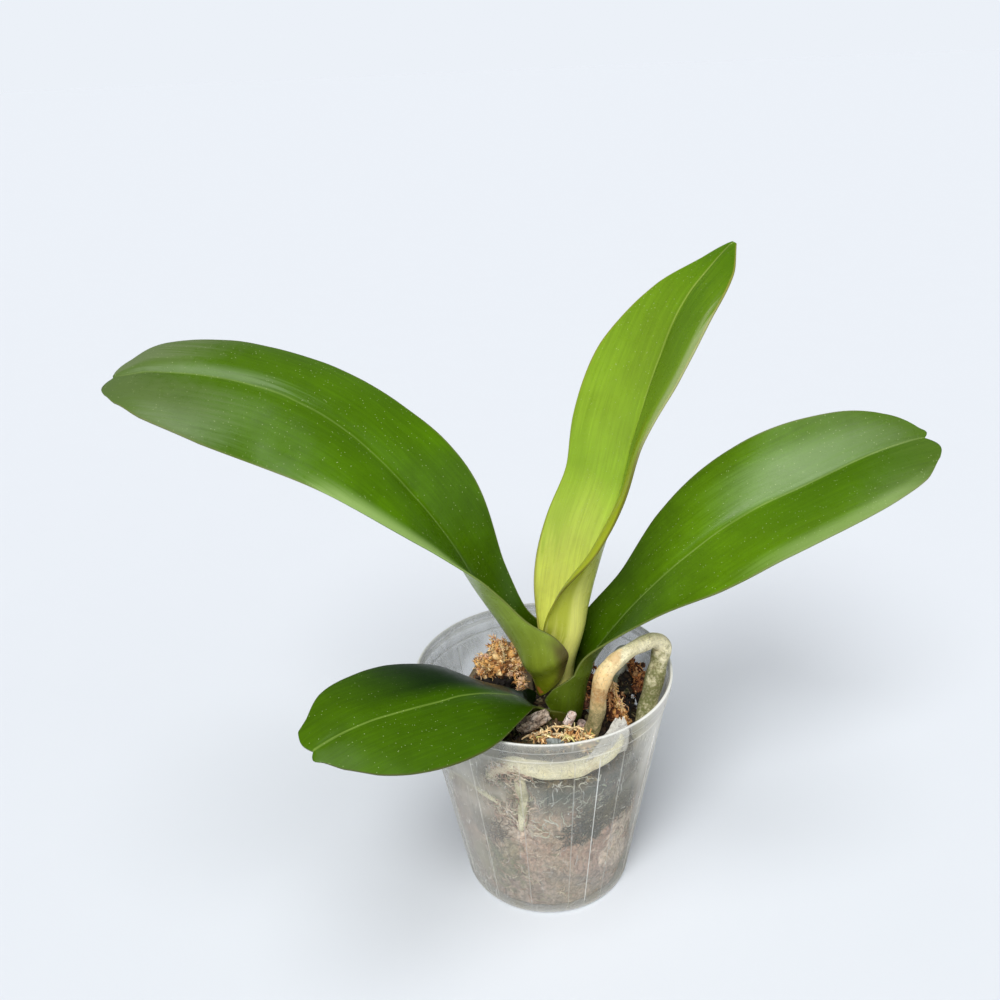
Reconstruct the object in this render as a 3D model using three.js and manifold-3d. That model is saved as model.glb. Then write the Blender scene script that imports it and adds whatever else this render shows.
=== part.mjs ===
// A young moth orchid out of flower, growing in a frosted clear plastic pot.
// Four thick leaves clasp a short stem, and silvery roots arch over moss and bark.
// Millimetres, +Z up. The origin is the middle of the pot's base, on the surface it stands on.
// The plant leans its longest leaf towards -X, and the front of the pot faces -Y.

import * as THREE from 'three';
import { mergeVertices } from 'three/addons/utils/BufferGeometryUtils.js';
import Module from 'manifold-3d';

const wasm = await Module();
wasm.setup();

// Driving dimensions
const CLEARANCE = 0.3; // left between two pieces that touch
const POT_HEIGHT = 113;
const POT_BASE_RADIUS = 40;
const POT_RIM_RADIUS = 60;
const POT_WALL = 1.1;
const POT_FLOOR = 1.6;
const LIP_HEIGHT = 5.5; // the band that turns outward under the rim
const LIP_STEP = 1.4;
const RIB_COUNT = 15; // thin upright mouldings around the wall
const RIB_OFFSET_DEG = 10.2; // first rib, from the front towards +X
const RIB_WIDTH = 1.1;
const RIB_PROUD = 0.45;
const SEAM_DEG = 21.7; // the moulding seam, a little bolder than a rib
const DRAIN_HOLES = 8;
const DRAIN_RADIUS = 3.5;
const DRAIN_RING = 26;
const SOIL_TOP = 86; // mean height of the moss and bark in the pot
const SOIL_TOP_MIDDLE = 3; // and how much higher it lies round the stem
const STEM_X = 6;
const STEM_Y = -8;
const STEM_RADIUS = 5.2;
const STEM_FOOT = 58;
const STEM_HEAD = 119;
const RIB_THICKNESS = 2.3; // leaf thickness along the midrib
const MARGIN_THICKNESS = 1.1; // and at its edge
const HALF_STRIPS = 5; // strips across each half of a leaf

const TURN = Math.PI / 180;

// A repeatable stream of numbers between 0 and 1
function numberStream(seed) {
  let state = seed;
  return () => {
    state = (state * 1664525 + 1013904223) % 4294967296;
    return state / 4294967296;
  };
}

// Closed solids

function signedVolume(positions, index) {
  const a = new THREE.Vector3();
  const b = new THREE.Vector3();
  const c = new THREE.Vector3();
  let sum = 0;
  for (let i = 0; i < index.length; i += 3) {
    a.fromArray(positions, index[i] * 3);
    b.fromArray(positions, index[i + 1] * 3);
    c.fromArray(positions, index[i + 2] * 3);
    sum += a.dot(b.cross(c)) / 6;
  }
  return sum;
}

function toSolid(geometry) {
  const bare = geometry.clone();
  bare.deleteAttribute('normal');
  bare.deleteAttribute('uv');
  const merged = mergeVertices(bare, 1e-4);
  const source = merged.index.array;
  const kept = [];
  for (let i = 0; i < source.length; i += 3) {
    const [a, b, c] = [source[i], source[i + 1], source[i + 2]];
    if (a !== b && b !== c && c !== a) kept.push(a, b, c);
  }
  const positions = new Float32Array(merged.attributes.position.array);
  if (signedVolume(positions, kept) < 0) kept.reverse();
  const triVerts = new Uint32Array(kept);
  return new wasm.Manifold(new wasm.Mesh({ numProp: 3, vertProperties: positions, triVerts }));
}

function fromTriangles(positions, index) {
  const geometry = new THREE.BufferGeometry();
  geometry.setAttribute('position', new THREE.Float32BufferAttribute(positions, 3));
  geometry.setIndex(index);
  return geometry;
}

function toGeometry(solid) {
  const mesh = solid.getMesh();
  return fromTriangles(Array.from(mesh.vertProperties), Array.from(mesh.triVerts));
}

function union(solids) {
  return solids.reduce((whole, next) => whole.add(next));
}

function without(solid, cutters) {
  return cutters.reduce((rest, cutter) => rest.subtract(cutter), solid);
}

// A cut can leave crumbs beside the piece: only its largest body is kept
function largest(solid) {
  const bodies = solid.decompose();
  bodies.sort((a, b) => b.volume() - a.volume());
  return bodies[0];
}

function lathe(profile, segments) {
  const points = profile.map(([r, z]) => new THREE.Vector2(r, z));
  return new THREE.LatheGeometry(points, segments).rotateX(Math.PI / 2);
}

// Curves through rows of numbers

function blendRows(rows, t) {
  const last = rows.length - 1;
  const i = Math.min(Math.floor(t), last - 1);
  const u = t - i;
  const [p0, p1] = [rows[Math.max(i - 1, 0)], rows[i]];
  const [p2, p3] = [rows[i + 1], rows[Math.min(i + 2, last)]];
  return p1.map((b, k) => {
    const [a, c, d] = [p0[k], p2[k], p3[k]];
    return 0.5 * (2 * b + (c - a) * u + (2 * a - 5 * b + 4 * c - d) * u * u
      + (3 * b - a - 3 * c + d) * u * u * u);
  });
}

// Leaves. Each row of a leaf is one cross-section, from the foot of its sheath to its tip:
// run out from the stem, height, then for the left and the right half its width, the angle at
// which it rises from the midrib, and how far it curls on its way to the margin; a ninth number
// turns the right margin back out. Low rows curl round the stem and make the sheath.

const LEAVES = {
  leaf_long_left: {
    heading: 175,
    lobes: [2.5, 0.4],
    rows: [
      [8.5, 104, 4, 0, 27, 4, 0, 27],
      [9.5, 109, 12, 0, 75, 12, 0, 75],
      [11.5, 115, 20, 0, 120, 20, 0, 115],
      [14, 122, 25, 0, 125, 23, 5, 115],
      [17, 131, 22, 18, 70, 22, 25, 80],
      [21.5, 141, 18, 26, 30, 20, 38, 40],
      [31, 160, 17, 30, -10, 18, 53, -20],
      [54, 195, 25, 12, -35, 28, 65, -30],
      [80, 226.5, 31, -8, -45, 31, 48, -35],
      [108, 247.5, 34, -22, -40, 30, 37, -35],
      [136, 256.5, 33, -20, -30, 27, 38, -35],
      [163, 259.7, 25.5, -15, -20, 19, 42, -30],
      [176.5, 258.8, 16, -12, -10, 9, 40, -20],
      [182.5, 257.7, 6, -12, 0, 2.5, 36, 0],
    ],
    sheathRows: 6,
    colour: 0x3f6b1f,
  },
  leaf_right: {
    heading: 8,
    lobes: [0.8, 3.5],
    rows: [
      [10.5, 91, 5, 0, 25, 5, 0, 25],
      [11.2, 96, 19, 0, 90, 19, 0, 90],
      [12.2, 102, 26, 0, 130, 27, 0, 132],
      [13.2, 108, 24, 5, 105, 25, 5, 108],
      [15.5, 115, 20, 10, 70, 19, 10, 65],
      [20, 124, 17, 30, 30, 17, 28, 20],
      [38, 146, 19, 26, -10, 20, 12, -10],
      [62, 168, 27, 34, -10, 29, -4, -15],
      [88, 185, 31, 44, -15, 32, -9, -15],
      [115, 196, 31, 51, -15, 32, -6, -20],
      [140, 206, 26, 43, -10, 28, -11, -20],
      [157, 210.8, 17, 40, -10, 21.5, -16, -10],
      [167.5, 212.3, 5, 40, 0, 10, -16, 0],
    ],
    sheathRows: 5,
    colour: 0x4a7a24,
  },
  leaf_low_left: {
    heading: 217,
    lobes: [3.5, 0.8],
    rows: [
      [12, 89, 5, 0, 22, 5, 0, 22],
      [12.8, 94, 18, 0, 78, 18, 0, 78],
      [14.5, 99.5, 15, 0, 60, 15, 0, 60],
      [19, 106.5, 8, 0, 20, 8, 5, 20],
      [29, 114.5, 15, 0, -10, 14, 8, -20],
      [50, 124, 27, -6, -20, 25, 18, -25],
      [71, 128.5, 30.5, -9, -20, 30, 22, -25],
      [91, 132.5, 28.5, -13, -20, 27.5, 25, -25],
      [107, 133.8, 22, -16, -20, 23.5, 23, -20],
      [118, 133, 13.5, -18, -10, 15, 18, -10],
      [123.5, 132, 5, -20, 0, 6, 14, 0],
    ],
    sheathRows: 3,
    colour: 0x35601c,
  },
  leaf_upright: {
    heading: 10,
    lobes: [0, 0],
    rows: [
      [6.3, 108, 18, 0, 165, 18, 0, 165],
      [7.6, 121, 21, 0, 160, 21, 0, 160],
      [12, 138, 27, 0, 135, 26, 0, 150, -60],
      [16.5, 158, 29, 20, 85, 24, 28, 75, -100],
      [22.5, 180, 28, 42, 35, 24, 22, 30, -100],
      [31, 203, 27, 53, 5, 24, 20, 10, -55],
      [37, 229, 29, 59, -10, 25, 20, -10, 0],
      [45, 256, 28, 50, -15, 27, 8, -10, 0],
      [55, 280, 18, 34, -10, 24, -1, -10, 0],
      [68, 296, 8, 12, 0, 15, -8, 0, 0],
      [76, 303, 1.6, 10, 0, 1.6, 0, 0, 0],
    ],
    sheathRows: 4,
    colour: 0x86a544,
  },
};

// The points across one half, stepped from the midrib to the margin
function halfSection(start, side, up, sign, width, rise, curl, flare) {
  const points = [start.clone()];
  const at = start.clone();
  const step = Math.max(width, 0.1) / HALF_STRIPS;
  for (let j = 0; j < HALF_STRIPS; j += 1) {
    const u = (j + 0.5) / HALF_STRIPS;
    const angle = (rise + curl * u + flare * Math.max(0, (u - 0.75) / 0.25)) * TURN;
    at.addScaledVector(side, sign * Math.cos(angle) * step);
    at.addScaledVector(up, Math.sin(angle) * step);
    points.push(at.clone());
  }
  return points;
}

// The stations along a leaf, each with its midpoints across and the way the leaf runs there
function leafStations(leaf, grow) {
  const rows = leaf.rows.map((row) => [...row, ...(row.length < 9 ? [0] : [])]);
  const heading = leaf.heading * TURN;
  const out = new THREE.Vector3(Math.cos(heading), Math.sin(heading), 0);
  const across = new THREE.Vector3(-out.y, out.x, 0);
  const origin = new THREE.Vector3(STEM_X, STEM_Y, 0);
  const midrib = (t) => {
    const [run, height] = blendRows(rows, t);
    return origin.clone().addScaledVector(out, run).setZ(height);
  };
  const times = [];
  const last = rows.length - 1;
  for (let i = 0; i < last; i += 1) {
    const parts = i < leaf.sheathRows ? 2 : 3;
    for (let j = 0; j < parts; j += 1) times.push(i + j / parts);
  }
  times.push(last);
  return times.map((t) => {
    const along = midrib(Math.min(t + 1e-3, last)).sub(midrib(Math.max(t - 1e-3, 0))).normalize();
    const up = new THREE.Vector3().crossVectors(along, across).normalize();
    const side = new THREE.Vector3().crossVectors(up, along);
    const start = midrib(t);
    if (t === 0) start.addScaledVector(along, -grow);
    if (t === last) start.addScaledVector(along, grow);
    const [, , wl, rl, cl, wr, rr, cr, flare] = blendRows(rows, t);
    const left = halfSection(start, side, up, 1, wl + grow, rl, cl, 0);
    const right = halfSection(start, side, up, -1, wr + grow, rr, cr, flare);
    return { along, points: [...left.reverse(), ...right.slice(1)] };
  });
}

// The tip ends in two unequal lobes beside the midrib
function pushLobes(stations, lobes) {
  const middle = HALF_STRIPS;
  const ahead = stations[stations.length - 1].along;
  [1, 0.45, 0.15].forEach((share, back) => {
    stations[stations.length - 1 - back].points.forEach((point, j) => {
      const u = Math.abs(j - middle) / middle;
      const reach = Math.sin(Math.PI * u) * (j < middle ? lobes[0] : lobes[1]);
      point.addScaledVector(ahead, reach * share);
    });
  });
}

// Both faces of the blade are split into triangles alike
function leafSolid(leaf, grow = 0) {
  const stations = leafStations(leaf, grow);
  pushLobes(stations, leaf.lobes);
  const across = 2 * HALF_STRIPS + 1;
  const positions = [];
  const rows = stations.length;
  stations.forEach(({ along, points }) => {
    points.forEach((point, j) => {
      const next = points[Math.min(j + 1, across - 1)];
      const previous = points[Math.max(j - 1, 0)];
      const normal = next.clone().sub(previous).cross(along).normalize();
      const u = Math.abs(j - HALF_STRIPS) / HALF_STRIPS;
      const thickness = THREE.MathUtils.lerp(RIB_THICKNESS, MARGIN_THICKNESS, Math.sqrt(u));
      const half = thickness / 2 + grow;
      positions.push(...point.clone().addScaledVector(normal, half).toArray());
      positions.push(...point.clone().addScaledVector(normal, -half).toArray());
    });
  });
  const top = (k, j) => 2 * (k * across + j);
  const under = (k, j) => top(k, j) + 1;
  const index = [];
  const quad = (a, b, c, d) => index.push(a, b, c, a, c, d);
  for (let k = 0; k < rows - 1; k += 1) {
    for (let j = 0; j < across - 1; j += 1) {
      quad(top(k, j), top(k, j + 1), top(k + 1, j + 1), top(k + 1, j));
      index.push(under(k, j), under(k + 1, j + 1), under(k, j + 1));
      index.push(under(k, j), under(k + 1, j), under(k + 1, j + 1));
    }
    quad(under(k, 0), top(k, 0), top(k + 1, 0), under(k + 1, 0));
    const end = across - 1;
    quad(top(k, end), under(k, end), under(k + 1, end), top(k + 1, end));
  }
  for (let j = 0; j < across - 1; j += 1) {
    quad(top(0, j), under(0, j), under(0, j + 1), top(0, j + 1));
    const tip = rows - 1;
    quad(top(tip, j), top(tip, j + 1), under(tip, j + 1), under(tip, j));
  }
  return toSolid(fromTriangles(positions, index));
}

// Round strands with rounded ends: roots, and the fibres of moss. Each point is x, y, z, radius.
function strandSolid(points, sides, steps, grow = 0, knobbly = 0) {
  const curve = new THREE.CatmullRomCurve3(
    points.map(([x, y, z]) => new THREE.Vector3(x, y, z)), false, 'centripetal');
  const radii = points.map(([, , , radius]) => [radius]);
  const frames = curve.computeFrenetFrames(steps, false);
  const positions = [];
  const ring = (centre, k, radius) => {
    for (let j = 0; j < sides; j += 1) {
      const angle = (j / sides) * 2 * Math.PI;
      const point = centre.clone();
      point.addScaledVector(frames.normals[k], radius * Math.cos(angle));
      point.addScaledVector(frames.binormals[k], radius * Math.sin(angle));
      positions.push(...point.toArray());
    }
  };
  const lengths = curve.getLengths(points.length * 20);
  const whole = lengths[lengths.length - 1];
  for (let k = 0; k <= steps; k += 1) {
    const u = k / steps;
    const t = curve.getUtoTmapping(u) * (points.length - 1);
    const centre = curve.getPointAt(u);
    const swell = 1 + knobbly * Math.sin(u * whole * 0.42 + points[0][0]);
    const radius = blendRows(radii, t)[0] * swell + grow;
    if (k === 0) {
      const cap = centre.clone().addScaledVector(frames.tangents[0], -grow);
      positions.push(...cap.clone().addScaledVector(frames.tangents[0], -radius * 0.45).toArray());
      ring(cap, 0, radius * 0.72);
      ring(centre.clone().addScaledVector(frames.tangents[0], radius * 0.3), 0, radius);
    } else if (k === steps) {
      const cap = centre.clone().addScaledVector(frames.tangents[k], grow);
      ring(centre.clone().addScaledVector(frames.tangents[k], -radius * 0.3), k, radius);
      ring(cap, k, radius * 0.72);
      positions.push(...cap.clone().addScaledVector(frames.tangents[k], radius * 0.45).toArray());
    } else {
      ring(centre, k, radius);
    }
  }
  const rings = steps + 3;
  const at = (k, j) => 1 + k * sides + (j % sides);
  const index = [];
  for (let j = 0; j < sides; j += 1) {
    index.push(0, at(0, j + 1), at(0, j));
    index.push(1 + rings * sides, at(rings - 1, j), at(rings - 1, j + 1));
    for (let k = 0; k < rings - 1; k += 1) {
      index.push(at(k, j), at(k, j + 1), at(k + 1, j + 1));
      index.push(at(k, j), at(k + 1, j + 1), at(k + 1, j));
    }
  }
  return toSolid(fromTriangles(positions, index));
}

// A fibre of moss: a slender three-sided spike that bends on its way to its point
function fibreSolid(points, width, grow = 0) {
  const positions = [];
  points.slice(0, -1).forEach((point, k) => {
    const ahead = points[k + 1].clone().sub(point).normalize();
    const side = new THREE.Vector3(-ahead.y, ahead.x, 0.01).normalize();
    const lift = new THREE.Vector3().crossVectors(ahead, side);
    for (let j = 0; j < 3; j += 1) {
      const angle = (j / 3) * 2 * Math.PI;
      const reach = width * (1 - 0.25 * k) + 2 * grow;
      const corner = point.clone().addScaledVector(side, reach * Math.cos(angle));
      positions.push(...corner.addScaledVector(lift, reach * Math.sin(angle)).toArray());
    }
  });
  positions.push(...points[points.length - 1].toArray());
  const rings = points.length - 1;
  const index = [0, 2, 1];
  for (let j = 0; j < 3; j += 1) {
    const next = (j + 1) % 3;
    for (let k = 0; k < rings - 1; k += 1) {
      index.push(3 * k + j, 3 * k + next, 3 * k + 3 + next);
      index.push(3 * k + j, 3 * k + 3 + next, 3 * k + 3 + j);
    }
    index.push(3 * (rings - 1) + j, 3 * (rings - 1) + next, 3 * rings);
  }
  return toSolid(fromTriangles(positions, index));
}

const ROOTS = {
  root_arch: {
    points: [
      [12.5, -17, 77, 3], [18.5, -22, 87, 3.1], [22.5, -26.5, 104, 3.1], [23.5, -28, 119, 3.4],
      [26, -27.5, 126, 3.6], [33, -23.5, 130, 3.5], [45.5, -13, 132.5, 3.8],
      [55, -6, 132.5, 4], [57, -5, 128, 4.4], [52.5, -8.5, 115, 4.5], [46.5, -14.5, 96, 4.4],
      [43, -17, 80, 4.2],
    ],
    steps: 34,
    colour: 0xb5ac8f,
  },
  root_back: {
    points: [
      [18, 3, 80, 2.8], [30, 11, 86, 3.1], [36.5, 13, 97, 3.3], [41, 15, 106, 3.3],
      [43, 22, 107, 3.2], [40.5, 30, 99, 3.1], [34, 33.5, 84, 3], [30, 31.5, 70, 2.8],
    ],
    steps: 18,
    colour: 0x9ea08c,
  },
  root_front_wall: {
    points: [
      [-26, -37, 80, 2.8], [-24, -44.5, 90, 3], [-17, -47.7, 94.6, 3.4], [-8, -50.2, 94, 3.7],
      [1, -50.6, 92.4, 3.8], [10.5, -49.5, 92.2, 3.7], [20, -46.6, 94, 3.3],
      [27.5, -43.2, 97.5, 3.1], [30.3, -43.2, 104, 2.8], [30.6, -44.6, 110.5, 1.2],
    ],
    steps: 24,
    colour: 0xcfc8a8,
  },
  root_wall_vertical: {
    points: [
      [-14.3, -42, 88.5, 2.2], [-13.2, -48, 83, 2.4], [-12, -47.2, 76, 2.4],
      [-12.4, -45.6, 68, 2.3], [-13, -43.2, 58, 2.1], [-13.5, -38, 50, 1.6],
    ],
    steps: 12,
    colour: 0xb9ad78,
  },
  root_wall_left: {
    points: [
      [-45, -14, 62, 1.7], [-44, -20, 70, 1.9], [-40.5, -28.5, 75.5, 2], [-30, -39, 76, 2],
      [-21, -43.6, 72, 2], [-19.5, -42.5, 63, 1.7],
    ],
    steps: 12,
    colour: 0xb3a888,
  },
  root_wall_right: {
    points: [
      [40, -22, 84, 2.4], [43.3, -22, 79, 2.6], [40, -24.5, 68, 2.6], [35.5, -28.3, 58, 2.5],
      [27, -34.8, 51, 2.4], [17, -39.5, 47, 2],
    ],
    steps: 14,
    colour: 0xa9a184,
  },
  root_wall_back: {
    points: [
      [-6, 6, 80, 2.6], [-8, 22, 92, 3], [-12, 37, 98, 3.3], [-20, 45, 95, 3.3],
      [-29, 41.5, 88, 3.1], [-37, 30.5, 80, 2.9], [-41, 21, 70, 2.4],
    ],
    steps: 18,
    colour: 0xaaa78e,
  },
};

function rootSolid(root, grow = 0) {
  return strandSolid(root.points, 7, root.steps, grow, 0.05);
}

// Pot

// Outer radius of the wall below the lip
function wallRadius(z) {
  const top = POT_RIM_RADIUS - LIP_STEP;
  return THREE.MathUtils.mapLinear(z, 0, POT_HEIGHT - LIP_HEIGHT, POT_BASE_RADIUS, top);
}

function insideRadius(z) {
  return wallRadius(z) - POT_WALL;
}

function potSolid() {
  const lip = POT_HEIGHT - LIP_HEIGHT;
  const bead = lip - 5;
  const profile = [
    [0, 0],
    [POT_BASE_RADIUS - 1.2, 0],
    [POT_BASE_RADIUS + 0.1, 1.3],
    [wallRadius(bead - 0.5), bead - 0.5],
    [wallRadius(bead) + 0.35, bead],
    [wallRadius(bead + 0.5), bead + 0.5],
    [wallRadius(lip), lip],
    [POT_RIM_RADIUS - 0.4, lip + 1],
    [POT_RIM_RADIUS, POT_HEIGHT - 0.5],
    [POT_RIM_RADIUS - 0.4, POT_HEIGHT],
    [POT_RIM_RADIUS - 0.9, POT_HEIGHT],
    [POT_RIM_RADIUS - POT_WALL - 0.3, POT_HEIGHT - 0.5],
    [POT_RIM_RADIUS - POT_WALL - 0.5, lip + 1],
    [insideRadius(lip - 0.6), lip - 0.6],
    [insideRadius(POT_FLOOR), POT_FLOOR],
    [0, POT_FLOOR],
  ];
  let pot = toSolid(lathe(profile, 48));
  const tilt = Math.atan2(wallRadius(100) - wallRadius(0), 100);
  const upright = (angleDeg, width, proud) => {
    const [foot, head] = [4, lip - 6];
    const length = (head - foot) / Math.cos(tilt);
    const depth = proud + 0.5;
    const rib = new THREE.BoxGeometry(width, depth, length);
    rib.rotateX(tilt);
    const middle = (foot + head) / 2;
    rib.translate(0, -wallRadius(middle) - proud + depth / 2, middle);
    return toSolid(rib.rotateZ(angleDeg * TURN));
  };
  for (let i = 0; i < RIB_COUNT; i += 1) {
    const angle = RIB_OFFSET_DEG + (i * 360) / RIB_COUNT;
    pot = pot.add(upright(angle, RIB_WIDTH, RIB_PROUD));
  }
  pot = pot.add(upright(SEAM_DEG, 0.8, 0.3));
  for (let i = 0; i < DRAIN_HOLES; i += 1) {
    const hole = new THREE.CylinderGeometry(DRAIN_RADIUS, DRAIN_RADIUS, 6, 16);
    hole.rotateX(Math.PI / 2);
    hole.translate(DRAIN_RING, 0, 0);
    pot = pot.subtract(toSolid(hole.rotateZ(((i + 0.5) * 2 * Math.PI) / DRAIN_HOLES)));
  }
  return pot;
}

// Moss and bark in the pot: a rough core with bark chunks sunk into its top and sides

function roughness(x, y, z) {
  return Math.sin(x * 0.33 + 1.3) * Math.sin(y * 0.29 + 2.1) * Math.cos(z * 0.21 + 0.4)
    + 0.6 * Math.sin(x * 0.71 + y * 0.53 + 0.9) * Math.cos(z * 0.47 + y * 0.31);
}

// The filling stands back from the wall near its top, where the roots run
function fillRadius(z) {
  const back = THREE.MathUtils.clamp((z - 62) / 22, 0, 1);
  return insideRadius(z) - 2.2 - 4.5 * back;
}

function barkChunk(random, length, breadth, thickness, sides) {
  const chunk = new THREE.CylinderGeometry(1, 0.82 + 0.12 * random(), 1, sides);
  chunk.scale(length / 2, thickness, breadth / 2);
  chunk.rotateX(Math.PI / 2 + (random() - 0.5) * 0.5);
  chunk.rotateY((random() - 0.5) * 0.6);
  chunk.rotateZ(random() * 2 * Math.PI);
  return chunk;
}

function fillingSolid(cutters) {
  const profile = [[0, POT_FLOOR + CLEARANCE]];
  [2, 16, 30, 44, 58, 70, 80].forEach((z) => profile.push([fillRadius(z), Math.max(z, 1.9)]));
  profile.push([fillRadius(84) - 3, SOIL_TOP - 3]);
  [38, 26, 14].forEach((r) => {
    profile.push([r, SOIL_TOP - 3 + SOIL_TOP_MIDDLE * (1 - r / 45)]);
  });
  profile.push([0, SOIL_TOP]);
  const core = lathe(profile, 22);
  const place = core.attributes.position;
  for (let i = 0; i < place.count; i += 1) {
    const [x, y, z] = [place.getX(i), place.getY(i), place.getZ(i)];
    const radius = Math.hypot(x, y);
    if (z > 3 && radius > 1) {
      const bump = roughness(x, y, z);
      const share = 1 + (1.1 * bump) / radius;
      place.setXYZ(i, x * share, y * share, z > 75 ? z + 1.6 * bump : z);
    }
  }
  const random = numberStream(11);
  const pieces = [toSolid(core)];
  for (let i = 0; i < 20; i += 1) {
    const angle = i * 2.39996;
    const r = 6 + 40 * Math.sqrt((i + 0.5) / 20);
    const size = 11 + 8 * random();
    const chunk = barkChunk(random, size, size * 0.65, 4 + 2 * random(), 4);
    const height = SOIL_TOP - 2.2 + SOIL_TOP_MIDDLE * (1 - r / 45) + 2 * random();
    chunk.translate(r * Math.cos(angle), r * Math.sin(angle), height);
    pieces.push(toSolid(chunk));
  }
  for (let i = 0; i < 24; i += 1) {
    const angle = i * 2.39996 + 0.4;
    const z = 9 + 66 * ((i * 0.618) % 1);
    const size = 13 + 9 * random();
    const chunk = barkChunk(random, size, size * 0.7, 5, 4);
    chunk.rotateY(Math.PI / 2 - 0.2);
    chunk.rotateZ(angle);
    const r = fillRadius(z) - 1.4;
    chunk.translate(r * Math.cos(angle), r * Math.sin(angle), z);
    pieces.push(toSolid(chunk));
  }
  const room = lathe([
    [0, POT_FLOOR + CLEARANCE],
    [insideRadius(POT_FLOOR) - 0.5, POT_FLOOR + CLEARANCE],
    [insideRadius(100) - 0.6, 100],
    [0, 100],
  ], 60);
  return largest(without(union(pieces).intersect(toSolid(room)), cutters));
}

// A plain hole for the stem
function stemHole() {
  const radius = STEM_RADIUS + CLEARANCE + 0.3;
  const hole = new THREE.CylinderGeometry(radius, radius, 60, 20).rotateX(Math.PI / 2);
  return toSolid(hole.translate(STEM_X, STEM_Y, STEM_FOOT - CLEARANCE + 30));
}

function stemSolid() {
  const profile = [[0, STEM_FOOT], [STEM_RADIUS - 1.5, STEM_FOOT], [STEM_RADIUS, STEM_FOOT + 2]];
  for (let z = 70; z < 100; z += 10) {
    profile.push([STEM_RADIUS - 0.5, z - 3], [STEM_RADIUS, z]);
  }
  profile.push([STEM_RADIUS - 0.4, 104], [STEM_RADIUS - 0.9, STEM_HEAD - 3]);
  profile.push([STEM_RADIUS - 2.6, STEM_HEAD - 0.4], [0, STEM_HEAD]);
  return toSolid(lathe(profile, 16).translate(STEM_X, STEM_Y, 0));
}

// Tufts of moss: crooked fibres that spring from a small matted core
const TUFTS = {
  moss_tuft_left: {
    at: [-24, 14, 92], size: [12, 11, 8], fibres: 18, reach: 12, seed: 3, colour: 0xb07a3f,
  },
  moss_tuft_front: {
    at: [9, -31, 89.5], size: [9, 4.5, 3], fibres: 12, reach: 7, seed: 8, colour: 0xc9a263,
  },
  moss_tuft_right: {
    at: [37, -8, 92], size: [6, 7, 9], fibres: 14, reach: 9, seed: 21, colour: 0x8a5530,
  },
  moss_tuft_far_right: {
    at: [47, 6, 89.3], size: [5, 6, 7], fibres: 9, reach: 7, seed: 34, colour: 0x7d4f2e,
  },
};

function tuftSolid(tuft, grow = 0) {
  const random = numberStream(tuft.seed);
  const [x, y, z] = tuft.at;
  const [sx, sy, sz] = tuft.size;
  const core = new THREE.IcosahedronGeometry(1, 1);
  const place = core.attributes.position;
  for (let i = 0; i < place.count; i += 1) {
    const [a, b, c] = [place.getX(i), place.getY(i), place.getZ(i)];
    const lump = 0.62 + 0.14 * Math.sin(a * 4 + tuft.seed) * Math.cos(b * 5 + c * 3);
    place.setXYZ(i, a * lump * sx, b * lump * sy, c * lump * sz);
  }
  const pieces = [toSolid(core.translate(x, y, z))];
  for (let i = 0; i < tuft.fibres; i += 1) {
    const turn = i * 2.39996 + random();
    const lift = 0.15 + 0.85 * ((i + 0.5) / tuft.fibres);
    const flat = Math.sqrt(1 - lift * lift * 0.9);
    const way = new THREE.Vector3(Math.cos(turn) * flat, Math.sin(turn) * flat, lift);
    const reach = tuft.reach * (0.65 + 0.5 * random()) * (0.75 + 0.25 * flat);
    const bend = new THREE.Vector3(random() - 0.5, random() - 0.5, random() - 0.6);
    const foot = new THREE.Vector3(x + way.x * sx * 0.3, y + way.y * sy * 0.3, z + way.z * sz * 0.3);
    const points = [0, 0.5, 1].map((u) => {
      const point = foot.clone().addScaledVector(way, (reach + 3 * grow) * u);
      return point.addScaledVector(bend, reach * 0.7 * u * u);
    });
    pieces.push(fibreSolid(points, 1.5, grow));
  }
  return union(pieces);
}

// Loose chips of bark on top: centre, length and breadth, thickness, and turns in degrees
const CHIPS = {
  bark_chip_1: { at: [-9, -27, 89.5], size: [14, 9, 4], turns: [14, -8, 20], colour: 0x77716a },
  bark_chip_2: { at: [16, -19.5, 93.5], size: [8, 5, 2.6], turns: [35, 10, 70], colour: 0xc6aca4 },
  bark_chip_3: { at: [-24, -22, 89], size: [15, 9, 4], turns: [-10, 12, 115], colour: 0x4b3a2d },
  bark_chip_4: { at: [-41, 2, 88], size: [13, 9, 4.5], turns: [8, 18, 80], colour: 0x5a4636 },
  bark_chip_5: { at: [4, 22, 89.3], size: [16, 10, 4.5], turns: [-12, -6, 30], colour: 0x54402f },
  bark_chip_6: { at: [18, 38, 89.5], size: [15, 9, 4], turns: [10, 14, -35], colour: 0x4a382b },
  bark_chip_7: { at: [-30, 31, 88], size: [13, 8, 4], turns: [-14, 8, 60], colour: 0x63503f },
};

function chipSolid(name, chip, grow = 0) {
  const random = numberStream(40 + Number(name.slice(-1)));
  const [length, breadth, thickness] = chip.size;
  const outline = new THREE.Shape();
  for (let i = 0; i < 7; i += 1) {
    const angle = ((i + 0.5 * random()) / 7) * 2 * Math.PI;
    const reach = 0.8 + 0.2 * random();
    const x = (length / 2 + grow) * reach * Math.cos(angle);
    const y = (breadth / 2 + grow) * reach * Math.sin(angle);
    if (i === 0) outline.moveTo(x, y);
    else outline.lineTo(x, y);
  }
  const bevel = 0.7;
  const geometry = new THREE.ExtrudeGeometry(outline, {
    depth: thickness - 2 * bevel + 2 * grow,
    bevelThickness: bevel,
    bevelSize: bevel,
    bevelOffset: -bevel,
    bevelSegments: 1,
    curveSegments: 1,
  });
  geometry.translate(0, 0, -thickness / 2 + bevel - grow);
  const [tx, ty, tz] = chip.turns;
  geometry.rotateX(tx * TURN);
  geometry.rotateY(ty * TURN);
  geometry.rotateZ(tz * TURN);
  return toSolid(geometry.translate(...chip.at));
}

// Assembly. The plant comes first, and what lies against it is cut back to clear it.

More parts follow.
